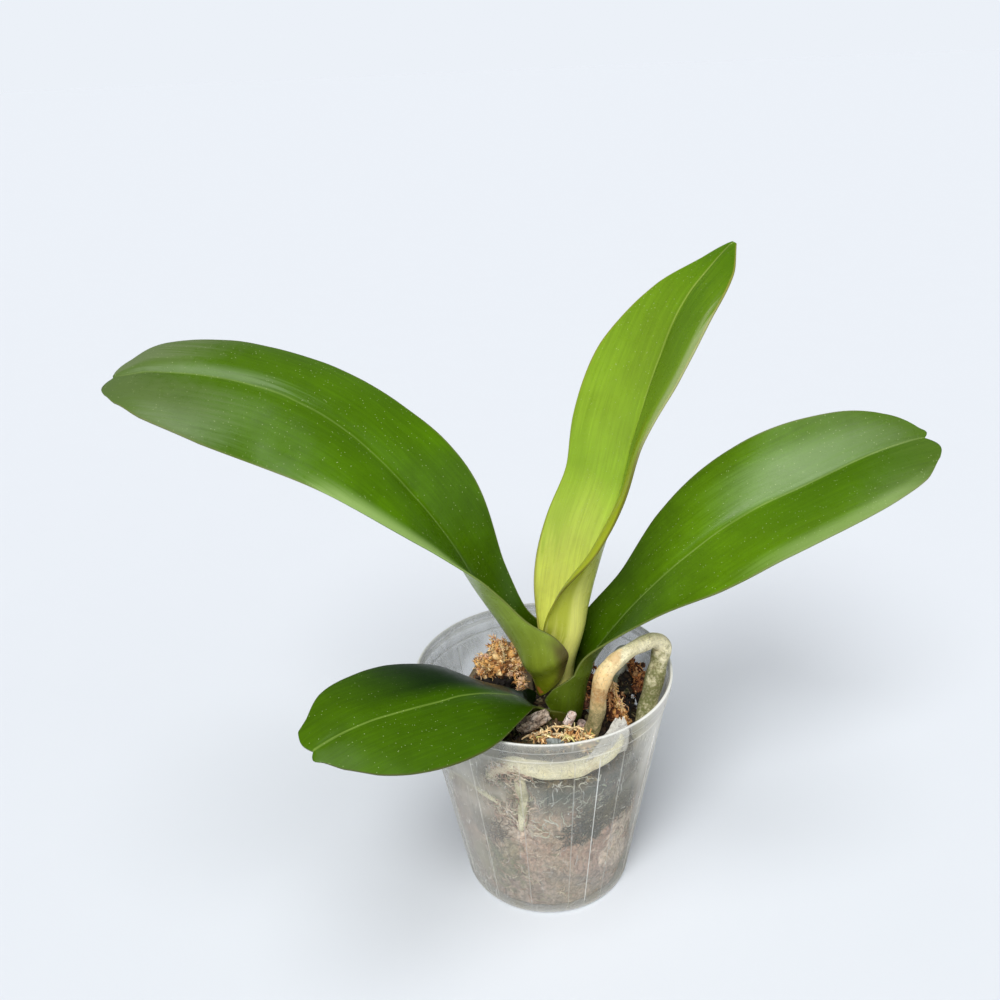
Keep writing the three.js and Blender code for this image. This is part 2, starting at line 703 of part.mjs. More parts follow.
const object = new THREE.Group();

function addPiece(name, solid, colour, roughnessValue, extra = {}) {
  const material = new THREE.MeshStandardMaterial({
    color: colour, roughness: roughnessValue, metalness: 0, ...extra,
  });
  const mesh = new THREE.Mesh(toGeometry(solid), material);
  mesh.name = name;
  object.add(mesh);
}

const clear = { transparent: true, opacity: 0.35 };
addPiece('pot', potSolid(), 0xd9dde0, 0.3, clear);

const stem = stemSolid();
addPiece('stem', stem, 0x6f7a3c, 0.6);

// Youngest leaf innermost: each older sheath wraps the ones inside it
const sheathOrder = ['leaf_upright', 'leaf_long_left', 'leaf_right', 'leaf_low_left'];
const wrapped = [stemHole()];
sheathOrder.forEach((name) => {
  const leaf = LEAVES[name];
  addPiece(name, largest(without(leafSolid(leaf), wrapped)), leaf.colour, 0.35);
  wrapped.push(leafSolid(leaf, CLEARANCE));
});

const plant = [...wrapped];
Object.entries(ROOTS).forEach(([name, root]) => {
  addPiece(name, largest(without(rootSolid(root), plant)), root.colour, 0.8);
  plant.push(rootSolid(root, CLEARANCE));
});

const filling = fillingSolid(plant);
const raised = filling.translate([0, 0, CLEARANCE]);
addPiece('growing_medium', filling, 0x4a3a28, 0.95);

const loose = [...plant, filling, raised];
Object.entries(CHIPS).forEach(([name, chip]) => {
  addPiece(name, largest(without(chipSolid(name, chip), loose)), chip.colour, 0.9);
  loose.push(chipSolid(name, chip, CLEARANCE));
});
Object.entries(TUFTS).forEach(([name, tuft]) => {
  addPiece(name, largest(without(tuftSolid(tuft), loose)), tuft.colour, 0.95);
  loose.push(tuftSolid(tuft, CLEARANCE));
});

export default object;
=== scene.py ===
"""A young moth orchid out of flower in a clear nursery pot, dressed for a studio picture.

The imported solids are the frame. Each sub-assembly is a class that holds its sizes, builds its own
meshes in millimetres in the frame of the solids, and dresses them with procedural finishes.
"""

import logging
import math
from dataclasses import dataclass, field, replace
from enum import Enum
from typing import Iterable, Mapping, Sequence

import bpy
import numpy as np
from mathutils import Euler, Matrix, Vector
from mathutils.bvhtree import BVHTree


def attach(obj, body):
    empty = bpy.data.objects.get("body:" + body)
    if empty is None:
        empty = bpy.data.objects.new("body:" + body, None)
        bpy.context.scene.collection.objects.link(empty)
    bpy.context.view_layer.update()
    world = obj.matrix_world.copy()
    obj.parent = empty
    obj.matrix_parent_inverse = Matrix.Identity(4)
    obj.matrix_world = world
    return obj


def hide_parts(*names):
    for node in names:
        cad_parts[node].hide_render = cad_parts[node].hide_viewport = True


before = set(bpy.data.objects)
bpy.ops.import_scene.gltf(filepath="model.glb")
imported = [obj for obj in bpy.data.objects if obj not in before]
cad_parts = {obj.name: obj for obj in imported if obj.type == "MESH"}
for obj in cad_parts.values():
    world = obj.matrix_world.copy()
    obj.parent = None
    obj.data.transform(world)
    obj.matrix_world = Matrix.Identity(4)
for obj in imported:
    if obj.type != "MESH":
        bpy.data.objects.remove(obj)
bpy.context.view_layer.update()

logging.basicConfig(level=logging.INFO, format="%(message)s")
log = logging.getLogger("orchid")

Pair = tuple[float, float]
Triple = tuple[float, float, float]
Four = tuple[float, float, float, float]
Colour = tuple[int, int, int]
Array = np.ndarray
Material = bpy.types.Material
Tree = bpy.types.NodeTree
Socket = bpy.types.NodeSocket
Sockets = Mapping[str, Socket]
Stain = tuple[Triple, float, Colour, float]
Faces = list[Sequence[int]]

MM = 0.001


def srgb(colour: Colour) -> tuple[float, ...]:
    """Turns a colour as seen on a screen into the renderer's linear colour.

    Args:
        colour: Red, green and blue from 0 to 255.

    Returns:
        The linear colour, with an alpha of 1.
    """
    shares = [value / 255 for value in colour]
    linear = [s / 12.92 if s <= 0.04045 else ((s + 0.055) / 1.055) ** 2.4 for s in shares]
    return (*linear, 1.0)


# Shapes


@dataclass
class Shape:
    """A mesh in the making: points in millimetres, faces, and values kept at the points."""

    points: Array
    faces: Faces
    values: dict[str, Array] = field(default_factory=dict)

    def normals(self) -> Array:
        """Finds the outward direction at each point, where all faces have as many corners.

        Returns:
            One direction of length 1 per point.
        """
        faces = np.asarray(self.faces)
        corners = self.points[faces]
        normal = np.cross(corners[:, 2] - corners[:, 0], corners[:, -1] - corners[:, 1])
        total = np.zeros_like(self.points)
        for k in range(faces.shape[1]):
            np.add.at(total, faces[:, k], normal)
        return unit(total)

    def push_out(self, relief: Array) -> None:
        """Moves each point outward by its own relief."""
        self.points = self.points + self.normals() * relief[:, None]


def joined(shapes: Iterable[Shape]) -> Shape:
    """Puts several shapes that keep the same values into one.

    Args:
        shapes: The shapes to join.

    Returns:
        One shape with all their points and faces.
    """
    shapes = list(shapes)
    faces: Faces = []
    start = 0
    for shape in shapes:
        faces += [[v + start for v in face] for face in shape.faces]
        start += len(shape.points)
    names = shapes[0].values
    values = {name: np.concatenate([s.values[name] for s in shapes]) for name in names}
    return Shape(np.concatenate([s.points for s in shapes]), faces, values)


def ring_faces(rings: int, sides: int) -> Faces:
    """Lists the quads between closed rings of points.

    Args:
        rings: How many rings there are.
        sides: How many points a ring has.

    Returns:
        Four point numbers per quad.
    """
    k, j = np.meshgrid(np.arange(rings - 1), np.arange(sides), indexing="ij")
    a = k * sides + j
    b = k * sides + (j + 1) % sides
    return np.stack([a, b, b + sides, a + sides], -1).reshape(-1, 4).tolist()


def capped_faces(rings: int, sides: int) -> Faces:
    """Lists the quads between closed rings of points, and a cap at either end.

    Args:
        rings: How many rings there are.
        sides: How many points a ring has.

    Returns:
        The quads, then the two caps.
    """
    first = list(range(sides))
    last = [(rings - 1) * sides + j for j in first]
    return [*ring_faces(rings, sides), first[::-1], last]


def slab_faces(rings: int, columns: int) -> Faces:
    """Lists the faces of a thin sheet whose rings run over its top and back underneath.

    Args:
        rings: How many rings there are.
        columns: How many points a ring has on top.

    Returns:
        The quads between the rings, then those of the two ends.
    """
    sides = 2 * columns
    faces = ring_faces(rings, sides)
    for k in (0, rings - 1):
        for j in range(columns - 1):
            quad = [k * sides + v for v in (j, j + 1, sides - 2 - j, sides - 1 - j)]
            faces.append(quad[::-1] if k == 0 else quad)
    return faces


def copied(faces: Faces, count: int, each: int) -> Faces:
    """Repeats faces for a row of shapes with the same number of points each."""
    return [[v + k * each for v in face] for k in range(count) for face in faces]


def circle(sides: int) -> Array:
    """Even angles round a full turn."""
    return np.arange(sides) * 2 * math.pi / sides


def grid(*rows: Array | float) -> Array:
    """Sets numbers side by side, each repeated over the rows and columns of the others."""
    return np.stack(np.broadcast_arrays(*rows), -1)


def around(radius: Array | float, turn: Array | float, height: Array | float) -> Array:
    """Points at a radius, a turn and a height round an upright axis."""
    return grid(radius * np.cos(turn), radius * np.sin(turn), height)


def lattice_noise(points: Array, size: float, seed: int = 0) -> Array:
    """Smooth noise over space that is the same in each run.

    Args:
        points: Points in millimetres, in any layout.
        size: The size of a lump in millimetres.
        seed: Which noise it is.

    Returns:
        One value from -1 to 1 per point.
    """
    scaled = points.reshape(-1, 3) / size
    base = np.floor(scaled).astype(np.int64)
    part = scaled - base
    part = part * part * (3 - 2 * part)
    total = np.zeros(len(scaled))
    for corner in range(8):
        step = np.array([corner & 1, (corner >> 1) & 1, (corner >> 2) & 1])
        x, y, z = (base + step).T
        mixed = (x * 73856093) ^ (y * 19349663) ^ (z * 83492791) ^ (seed * 2654435761)
        mixed = (mixed ^ (mixed >> 13)) * 1274126177 & 0xFFFFFFFF
        value = ((mixed ^ (mixed >> 16)) & 0xFFFF) / 32767.5 - 1
        total += value * np.prod(np.where(step, part, 1 - part), axis=1)
    return total.reshape(points.shape[:-1])


def rough_noise(points: Array, size: float, octaves: int, seed: int = 0) -> Array:
    """Noise with finer and finer lumps on it.

    Args:
        points: Points in millimetres, in any layout.
        size: The size of the largest lump.
        octaves: How many sizes of lump are added up.
        seed: Which noise it is.

    Returns:
        One value per point, about -1 to 1.
    """
    total = np.zeros(points.shape[:-1])
    for octave in range(octaves):
        total += 0.5 ** octave * lattice_noise(points, size * 0.5 ** octave, seed + octave)
    return total


def blend_rows(rows: Array, times: Array) -> Array:
    """Runs a smooth curve through rows of numbers.

    Args:
        rows: One row per knot.
        times: Where on the curve, from 0 to the last knot's number.

    Returns:
        One blended row per time.
    """
    last = len(rows) - 1
    i = np.minimum(np.floor(times).astype(int), last - 1)
    u = (times - i)[:, None]
    a, b = rows[np.maximum(i - 1, 0)], rows[i]
    c, d = rows[i + 1], rows[np.minimum(i + 2, last)]
    bend, twist = 2 * a - 5 * b + 4 * c - d, 3 * b - a - 3 * c + d
    return 0.5 * (2 * b + (c - a) * u + bend * u ** 2 + twist * u ** 3)


def curve_through(knots: Array, steps: int) -> Array:
    """Evenly spaced points on a rounded curve through knots that stand unevenly.

    Args:
        knots: Rows that start with x, y and z, with any further numbers blended along.
        steps: How many points the curve gets.

    Returns:
        One row per point, spaced by length.
    """
    first, final = 2 * knots[0] - knots[1], 2 * knots[-1] - knots[-2]
    rows = np.vstack([first, knots, final])
    gaps = np.sqrt(np.linalg.norm(np.diff(rows[:, :3], axis=0), axis=1))
    dense = []
    for i in range(1, len(rows) - 2):
        x0, x1, x2, x3 = rows[i - 1:i + 3]
        d0, d1, d2 = gaps[i - 1:i + 2]
        t1 = ((x1 - x0) / d0 - (x2 - x0) / (d0 + d1) + (x2 - x1) / d1) * d1
        t2 = ((x2 - x1) / d1 - (x3 - x1) / (d1 + d2) + (x3 - x2) / d2) * d1
        u = np.linspace(0, 1, 24, endpoint=False)[:, None]
        dense.append(x1 + t1 * u + (3 * (x2 - x1) - 2 * t1 - t2) * u ** 2
                     + (2 * (x1 - x2) + t1 + t2) * u ** 3)
    dense.append(knots[-1:])
    line = np.vstack(dense)
    run = np.concatenate([[0], np.cumsum(np.linalg.norm(np.diff(line[:, :3], axis=0), axis=1))])
    wanted = np.linspace(0, run[-1], steps)
    return np.stack([np.interp(wanted, run, line[:, k]) for k in range(line.shape[1])], 1)


def unit(rows: Array) -> Array:
    """Scales each row to length 1."""
    return rows / np.maximum(np.linalg.norm(rows, axis=-1, keepdims=True), 1e-9)


def turning_frames(path: Array) -> tuple[Array, Array, Array]:
    """Frames that follow a path without twisting.

    Args:
        path: Points along the path.

    Returns:
        The directions ahead, and two directions across at each point.
    """
    ahead = unit(np.gradient(path, axis=0))
    side = np.zeros_like(ahead)
    start = np.cross(ahead[0], (0.31, 0.17, 0.93))
    side[0] = start / np.linalg.norm(start)
    for k in range(1, len(path)):
        turned = side[k - 1] - ahead[k] * (side[k - 1] @ ahead[k])
        side[k] = turned / np.linalg.norm(turned)
    return ahead, side, np.cross(ahead, side)


def strands(paths: Array, thickness: Array, taper: tuple[Sequence[float], Sequence[float]],
            tints: Array, sides: int = 4, least: float = 0.0) -> Shape:
    """Many thin strands at once.

    Args:
        paths: Points of each strand, as strands by points by 3.
        thickness: The greatest radius of each strand.
        taper: Shares of the length, and the share of that radius at each.
        tints: One value from 0 to 1 per strand, which picks its colour.
        sides: How many sides a strand has.
        least: A radius that is added everywhere.

    Returns:
        One shape that keeps the tint, and the run from foot to end, at its points.
    """
    count, steps, _ = paths.shape
    along = np.linspace(0, 1, steps)
    radii = thickness[:, None] * np.interp(along, *taper) + least
    ahead = unit(np.gradient(paths, axis=1))
    reference = unit(np.cross(ahead[:, :1], np.array([0.37, 0.61, 0.7])) + 1e-3)
    side = unit(reference - ahead * np.sum(reference * ahead, -1, keepdims=True))
    lift = np.cross(ahead, side)
    wide, turn = radii[:, :, None, None], circle(sides)[:, None]
    ring = (paths[:, :, None] + wide * np.cos(turn) * side[:, :, None]
            + wide * np.sin(turn) * lift[:, :, None])
    faces = copied(capped_faces(steps, sides), count, steps * sides)
    run = np.broadcast_to(along[None, :, None], (count, steps, sides))
    tint = np.broadcast_to(tints[:, None, None], (count, steps, sides))
    return Shape(ring.reshape(-1, 3), faces, {"tint": tint.reshape(-1), "run": run.reshape(-1)})


def clods(centres: Array, sizes: Array, rings: int, rough: float, seed: int,
          tints: Array, boxy: float = 1.0) -> Shape:
    """Many rough rounded clods at once.

    Args:
        centres: The middle of each clod.
        sizes: Half its length along x, y and z.
        rings: How finely it is drawn.
        rough: How far its lumps stand out, as a share of its size.
        seed: Which noise it is.
        tints: One value from 0 to 1 per clod, which picks its colour.
        boxy: Below 1 squares the clods off.

    Returns:
        One shape that keeps the tint, and as its run how far each point stands out.
    """
    rise = np.linspace(math.pi - 0.14, 0.14, rings)
    sides = rings + 2
    ball = around(np.sin(rise)[:, None], circle(sides), np.cos(rise)[:, None]).reshape(-1, 3)
    count, each = len(centres), rings * sides
    apart = np.arange(count)[:, None, None] * np.array([17.3, 5.1, 9.7])
    noise = rough_noise(ball[None] * 1.9 + apart, 1.0, 4, seed)
    form = np.sign(ball) * np.abs(ball) ** boxy
    push = 1 + rough * noise[..., None]
    points = centres[:, None] + form[None] * sizes[:, None] * push
    run = np.clip(0.5 + 0.75 * noise, 0, 1)
    tint = np.broadcast_to(tints[:, None], (count, each)) + 0.14 * noise
    return Shape(points.reshape(-1, 3), copied(capped_faces(rings, sides), count, each),
                 {"tint": np.clip(tint, 0, 1).reshape(-1), "run": run.reshape(-1)})


def placed(name: str, data: bpy.types.ID) -> bpy.types.Object:
    """Makes an object and links it to the scene.

    Args:
        name: The object's name.
        data: Its mesh, light or camera.

    Returns:
        The object.
    """
    made = bpy.data.objects.new(name, data)
    bpy.context.scene.collection.objects.link(made)
    return made


def evaluated(source: bpy.types.Object) -> bpy.types.Mesh:
    """The mesh that an object's modifiers leave."""
    seen = source.evaluated_get(bpy.context.evaluated_depsgraph_get())
    return bpy.data.meshes.new_from_object(seen)


def make_piece(name: str, shape: Shape, finish: Material,
               stands_for: Sequence[str] = (), sharp: float = 0.0) -> bpy.types.Object:
    """Makes a mesh object that rides on the part.

    Args:
        name: The piece's name.
        shape: Its points, faces and values.
        finish: Its material.
        stands_for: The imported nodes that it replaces.
        sharp: Edges steeper than this many degrees stay sharp; 0 rounds them all.

    Returns:
        The new object.
    """
    mesh = bpy.data.meshes.new(name)
    mesh.from_pydata((shape.points * MM).tolist(), [], shape.faces)
    for key, values in shape.values.items():
        kind, target = ("FLOAT_VECTOR", "vector") if values.ndim == 2 else ("FLOAT", "value")
        store = mesh.attributes.new(key, kind, "POINT")
        store.data.foreach_set(target, values.astype(np.float32).ravel())
    mesh.update()
    mesh.shade_smooth()
    if sharp:
        mesh.set_sharp_from_angle(angle=math.radians(sharp))
    mesh.materials.append(finish)
    piece = placed(name, mesh)
    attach(piece, "root")
    if stands_for:
        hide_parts(*stands_for)
    log.info("%s: %d points, %d faces", name, len(shape.points), len(shape.faces))
    return piece


def remeshed(node: str, voxel: float, smooth_rounds: int = 0) -> Shape:
    """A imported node's form with small even faces, ready for fine relief.

    Args:
        node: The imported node.
        voxel: The size of a face in millimetres.
        smooth_rounds: How often its corners are rounded.

    Returns:
        The shape, without values.
    """
    double = placed("remesh_" + node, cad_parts[node].data.copy())
    remesh = double.modifiers.new("even", "REMESH")
    remesh.mode = "VOXEL"
    remesh.voxel_size = voxel * MM
    if smooth_rounds:
        double.modifiers.new("round", "SMOOTH").iterations = smooth_rounds
    mesh = evaluated(double)
    points = np.zeros(len(mesh.vertices) * 3)
    mesh.vertices.foreach_get("co", points)
    faces = [tuple(p.vertices) for p in mesh.polygons]
    bpy.data.objects.remove(double)
    bpy.data.meshes.remove(mesh)
    return Shape(points.reshape(-1, 3) / MM, faces)


# Shader graphs


class Graph:
    """A short way to place and link nodes in one shader tree."""

    def __init__(self, tree: Tree) -> None:
        """Keeps the tree that nodes are added to."""
        self.tree = tree

    def put(self, target: Socket, value: object) -> None:
        """Links a socket to another, or sets its value.

        Args:
            target: The input socket.
            value: An output socket, or a plain value; None leaves the socket alone.
        """
        if isinstance(value, Socket):
            self.tree.links.new(value, target)
        elif value is not None:
            seen = target.type == "RGBA" and len(value) == 3
            target.default_value = srgb(value) if seen else value

    def node(self, kind: str, *inputs: object, **settings: object) -> bpy.types.Node:
        """Adds a node.

        Args:
            kind: The node's type.
            *inputs: Values or sockets for its inputs, in order.
            **settings: Settings of the node itself.

        Returns:
            The new node.
        """
        made = self.tree.nodes.new(kind)
        for key, value in settings.items():
            setattr(made, key, value)
        for target, value in zip(made.inputs, inputs):
            self.put(target, value)
        return made

    def feed(self, node: bpy.types.Node, **inputs: object) -> Sockets:
        """Fills a node's inputs by name.

        Args:
            node: The node.
            **inputs: Values or sockets, with _ for a blank in a name.

        Returns:
            The node's outputs.
        """
        for key, value in inputs.items():
            self.put(node.inputs[key.replace("_", " ")], value)
        return node.outputs

    def math(self, operation: str, *values: object, clamp: bool = False) -> Socket:
        """One step of arithmetic on numbers."""
        made = self.node("ShaderNodeMath", *values, operation=operation, use_clamp=clamp)
        return made.outputs[0]

    def times(self, a: object, b: object, clamp: bool = False) -> Socket:
        """One number times another."""
        return self.math("MULTIPLY", a, b, clamp=clamp)

    def scale_add(self, value: object, factor: float, base: object, clamp: bool = False) -> Socket:
        """A number times a factor, added to a base."""
        return self.math("MULTIPLY_ADD", value, factor, base, clamp=clamp)

    def vector(self, operation: str, *values: object) -> Socket:
        """One step of arithmetic on vectors."""
        made = self.node("ShaderNodeVectorMath", *values, operation=operation)
        return made.outputs["Value" if operation == "DISTANCE" else "Vector"]

    def span(self, value: object, low: float, high: float, to_low: float = 0.0,
             to_high: float = 1.0, smooth: bool = True) -> Socket:
        """Maps a number from one range to another, held at the ends."""
        return self.node("ShaderNodeMapRange", value, low, high, to_low, to_high,
                         interpolation_type="SMOOTHSTEP" if smooth else "LINEAR").outputs[0]

    def mix(self, share: object, a: object, b: object, how: str = "MIX") -> Socket:
        """Mixes two colours."""
        return self.node("ShaderNodeMix", share, *[None] * 5, a, b, data_type="RGBA",
                         blend_type=how).outputs[2]

    def ramp(self, value: object, stops: Sequence[tuple[float, Colour]]) -> Socket:
        """Picks a colour along a row of stops.

        Args:
            value: Where to look, from 0 to 1.
            stops: Each stop's place and colour.

        Returns:
            The colour.
        """
        made = self.node("ShaderNodeValToRGB", value)
        elements = made.color_ramp.elements
        while len(elements) < len(stops):
            elements.new(0.5)
        for element, (place, colour) in zip(elements, stops):
            element.position, element.color = place, srgb(colour)
        return made.outputs[0]

    def noise(self, place: object, scale: object, detail: float = 2.0, rough: float = 0.5,
              twist: float = 0.0) -> Socket:
        """Soft noise from 0 to 1 over a place."""
        return self.feed(self.node("ShaderNodeTexNoise"), Vector=place, Scale=scale,
                         Detail=detail, Roughness=rough, Distortion=twist)[0]

    def place_in_mm(self) -> Socket:
        """The point on the object in millimetres."""
        place = self.node("ShaderNodeTexCoord").outputs["Object"]
        return self.vector("SCALE", place, None, None, 1000)

    def kept(self, name: str, output: str = "Fac") -> Socket:
        """A value kept at the mesh's points."""
        return self.node("ShaderNodeAttribute", attribute_name=name).outputs[output]

    def split(self, place: object) -> tuple[Socket, ...]:
        """The three numbers of a vector."""
        return tuple(self.node("ShaderNodeSeparateXYZ", place).outputs)

    def group(self, tree: Tree, **inputs: object) -> Sockets:
        """Places a node group and gives its outputs."""
        return self.feed(self.node("ShaderNodeGroup", node_tree=tree), **inputs)

    def mask(self, tree: Tree, **inputs: object) -> Socket:
        """Places a node group and gives its mask."""
        return self.group(tree, **inputs)["Mask"]

    def bump(self, height: object, strength: float, depth: float) -> Socket:
        """Turns a height from 0 to 1 into a normal, with its depth in millimetres."""
        return self.feed(self.node("ShaderNodeBump"), Strength=strength,
                         Distance=depth * MM, Height=height)[0]


class Surface(Graph):
    """A material in the making, with the colour laid on it so far."""

    def __init__(self, name: str) -> None:
        """Starts a material.

        Args:
            name: The material's name.
        """
        self.material = bpy.data.materials.new(name)
        self.material.use_nodes = True
        self.colour: object = None
        super().__init__(self.material.node_tree)

    def lay(self, tone: object, mask: object, share: float = 1.0) -> None:
        """Lays a tone over the colour.

        Args:
            tone: The tone.
            mask: Where it lies, from 0 to 1.
            share: How much of it shows there.
        """
        cover = mask if share == 1 else self.times(mask, share)
        self.colour = self.mix(cover, self.colour, tone)

    def shade(self, factor: object) -> None:
        """Makes the colour darker or lighter by a factor."""
        self.colour = self.mix(1.0, self.colour, factor, "MULTIPLY")

    def finished(self, **inputs: object) -> Material:
        """Hands the colour and the shader's other inputs over.

        Args:
            **inputs: Those inputs by name, with _ for a blank.

        Returns:
            The material.
        """
        self.feed(self.tree.nodes["Principled BSDF"], Base_Color=self.colour, **inputs)
        return self.material


class SocketKind(Enum):
    """The kinds of socket that the node groups use."""

    NUMBER = "NodeSocketFloat"
    PLACE = "NodeSocketVector"


def new_group(name: str, inputs: dict[str, float | None],
              *outputs: str) -> tuple[Graph, Sockets, Sockets]:
    """Starts a shader node group with named sockets.

    Args:
        name: The group's name.
        inputs: Each input's usual number, or None where it takes a place.
        *outputs: The names of the numbers it gives.

    Returns:
        The group's graph, what it is given, and where its outputs go.
    """
    tree = bpy.data.node_groups.new(name, "ShaderNodeTree")
    for key, usual in inputs.items():
        kind = SocketKind.PLACE if usual is None else SocketKind.NUMBER
        socket = tree.interface.new_socket(key, in_out="INPUT", socket_type=kind.value)
        if usual is not None:
            socket.default_value = usual
    for key in outputs:
        tree.interface.new_socket(key, in_out="OUTPUT", socket_type=SocketKind.NUMBER.value)
    nodes = tree.nodes
    return Graph(tree), nodes.new("NodeGroupInput").outputs, nodes.new("NodeGroupOutput").inputs


def speckle_group() -> Tree:
    """Small scattered dots, some of them left out.

    Returns:
        A group with Place, Scale, Size and Share in, and Mask out.
    """
    graph, given, out = new_group(
        "speckle", {"Place": None, "Scale": 1.0, "Size": 0.2, "Share": 0.5}, "Mask")
    cells = graph.feed(
        graph.node("ShaderNodeTexVoronoi", feature="F1"), Vector=given["Place"],
        Scale=given["Scale"])
    near = graph.math("LESS_THAN", cells["Distance"], given["Size"])
    edge = graph.math("DIVIDE", cells["Distance"], given["Size"])
    soft = graph.math("SUBTRACT", 1.0, edge, clamp=True)
    kept = graph.math("LESS_THAN", graph.split(cells["Color"])[0], given["Share"])
    mask = graph.times(graph.times(near, soft), kept)
    graph.put(out["Mask"], graph.times(mask, 1.8, clamp=True))
    return graph.tree


def patch_group() -> Tree:
    """A ragged patch round a point of the object.

    Returns:
        A group with Place, Centre, Reach, Ragged and Scale in, and Mask out.
    """
    graph, given, out = new_group(
        "patch", {"Place": None, "Centre": None, "Reach": 10.0, "Ragged": 0.6, "Scale": 0.15},
        "Mask")
    far = graph.vector("DISTANCE", given["Place"], given["Centre"])
    share = graph.math("DIVIDE", far, given["Reach"])
    grain = graph.noise(given["Place"], given["Scale"], 4.0, 0.6)
    lump = graph.times(graph.math("SUBTRACT", grain, 0.5), given["Ragged"])
    graph.put(out["Mask"], graph.span(graph.scale_add(lump, 3.0, share), 1.05, 0.55))
    return graph.tree


def hairline_group() -> Tree:
    """Short curved hairlines, as scratches and fine cracks make them.

    Returns:
        A group with Place, Scale, Width and Share in, and Mask out.
    """
    graph, given, out = new_group(
        "hairlines", {"Place": None, "Scale": 0.1, "Width": 0.02, "Share": 0.5}, "Mask")
    wave = graph.noise(given["Place"], given["Scale"], 1.0, 0.4, 0.6)
    off = graph.math("ABSOLUTE", graph.math("SUBTRACT", wave, 0.5))
    line = graph.math("SUBTRACT", 1.0, graph.math("DIVIDE", off, given["Width"]), clamp=True)
    breaks = graph.noise(given["Place"], graph.times(given["Scale"], 2.7), 2.0, 0.6)
    limit = graph.math("SUBTRACT", 1.0, given["Share"])
    inside = graph.times(graph.math("SUBTRACT", breaks, limit), 9.0, clamp=True)
    graph.put(out["Mask"], graph.times(line, inside))
    return graph.tree


def grain_group() -> Tree:
    """Fine lines that run lengthwise, such as veins and wood fibre, with soft mottling.

    Returns:
        A group with Place, Across, Along and Mottle Scale in, and Grain and Mottle out.
    """
    graph, given, out = new_group(
        "grain", {"Place": None, "Across": 1.5, "Along": 0.05, "Mottle Scale": 0.08},
        "Grain", "Mottle")
    sizes = (given["Across"], given["Along"], given["Across"])
    scaled = [graph.times(a, b) for a, b in zip(graph.split(given["Place"]), sizes)]
    lines = graph.node("ShaderNodeCombineXYZ", *scaled).outputs[0]
    graph.put(out["Grain"], graph.noise(lines, 1.0, 3.0, 0.6))
    graph.put(out["Mottle"], graph.noise(given["Place"], given["Mottle Scale"], 4.0, 0.6, 0.3))
    return graph.tree


@dataclass(frozen=True)
class Effects:
    """The node groups that several finishes share."""

    speckle: Tree
    patch: Tree
    hairlines: Tree
    grain: Tree


EFFECTS = Effects(speckle_group(), patch_group(), hairline_group(), grain_group())


# Finishes


@dataclass(frozen=True)
class EdgeZone:
    """A strip along one margin of a leaf with a tone laid over it: the leaf's own colour in some
    strips, painted sheen and painted shade in others.

    The side is -1 for the left margin and 1 for the right. The four shares of the half's width
    say where the strip starts, is full, starts to fade and is gone; it runs between two shares
    of the leaf's length, and fades in and out over the softness.
    """

    side: float
    outset: Four
    run: Pair
    tone: Colour
    share: float
    soft: float = 0.05
    streaked: float = 0.3


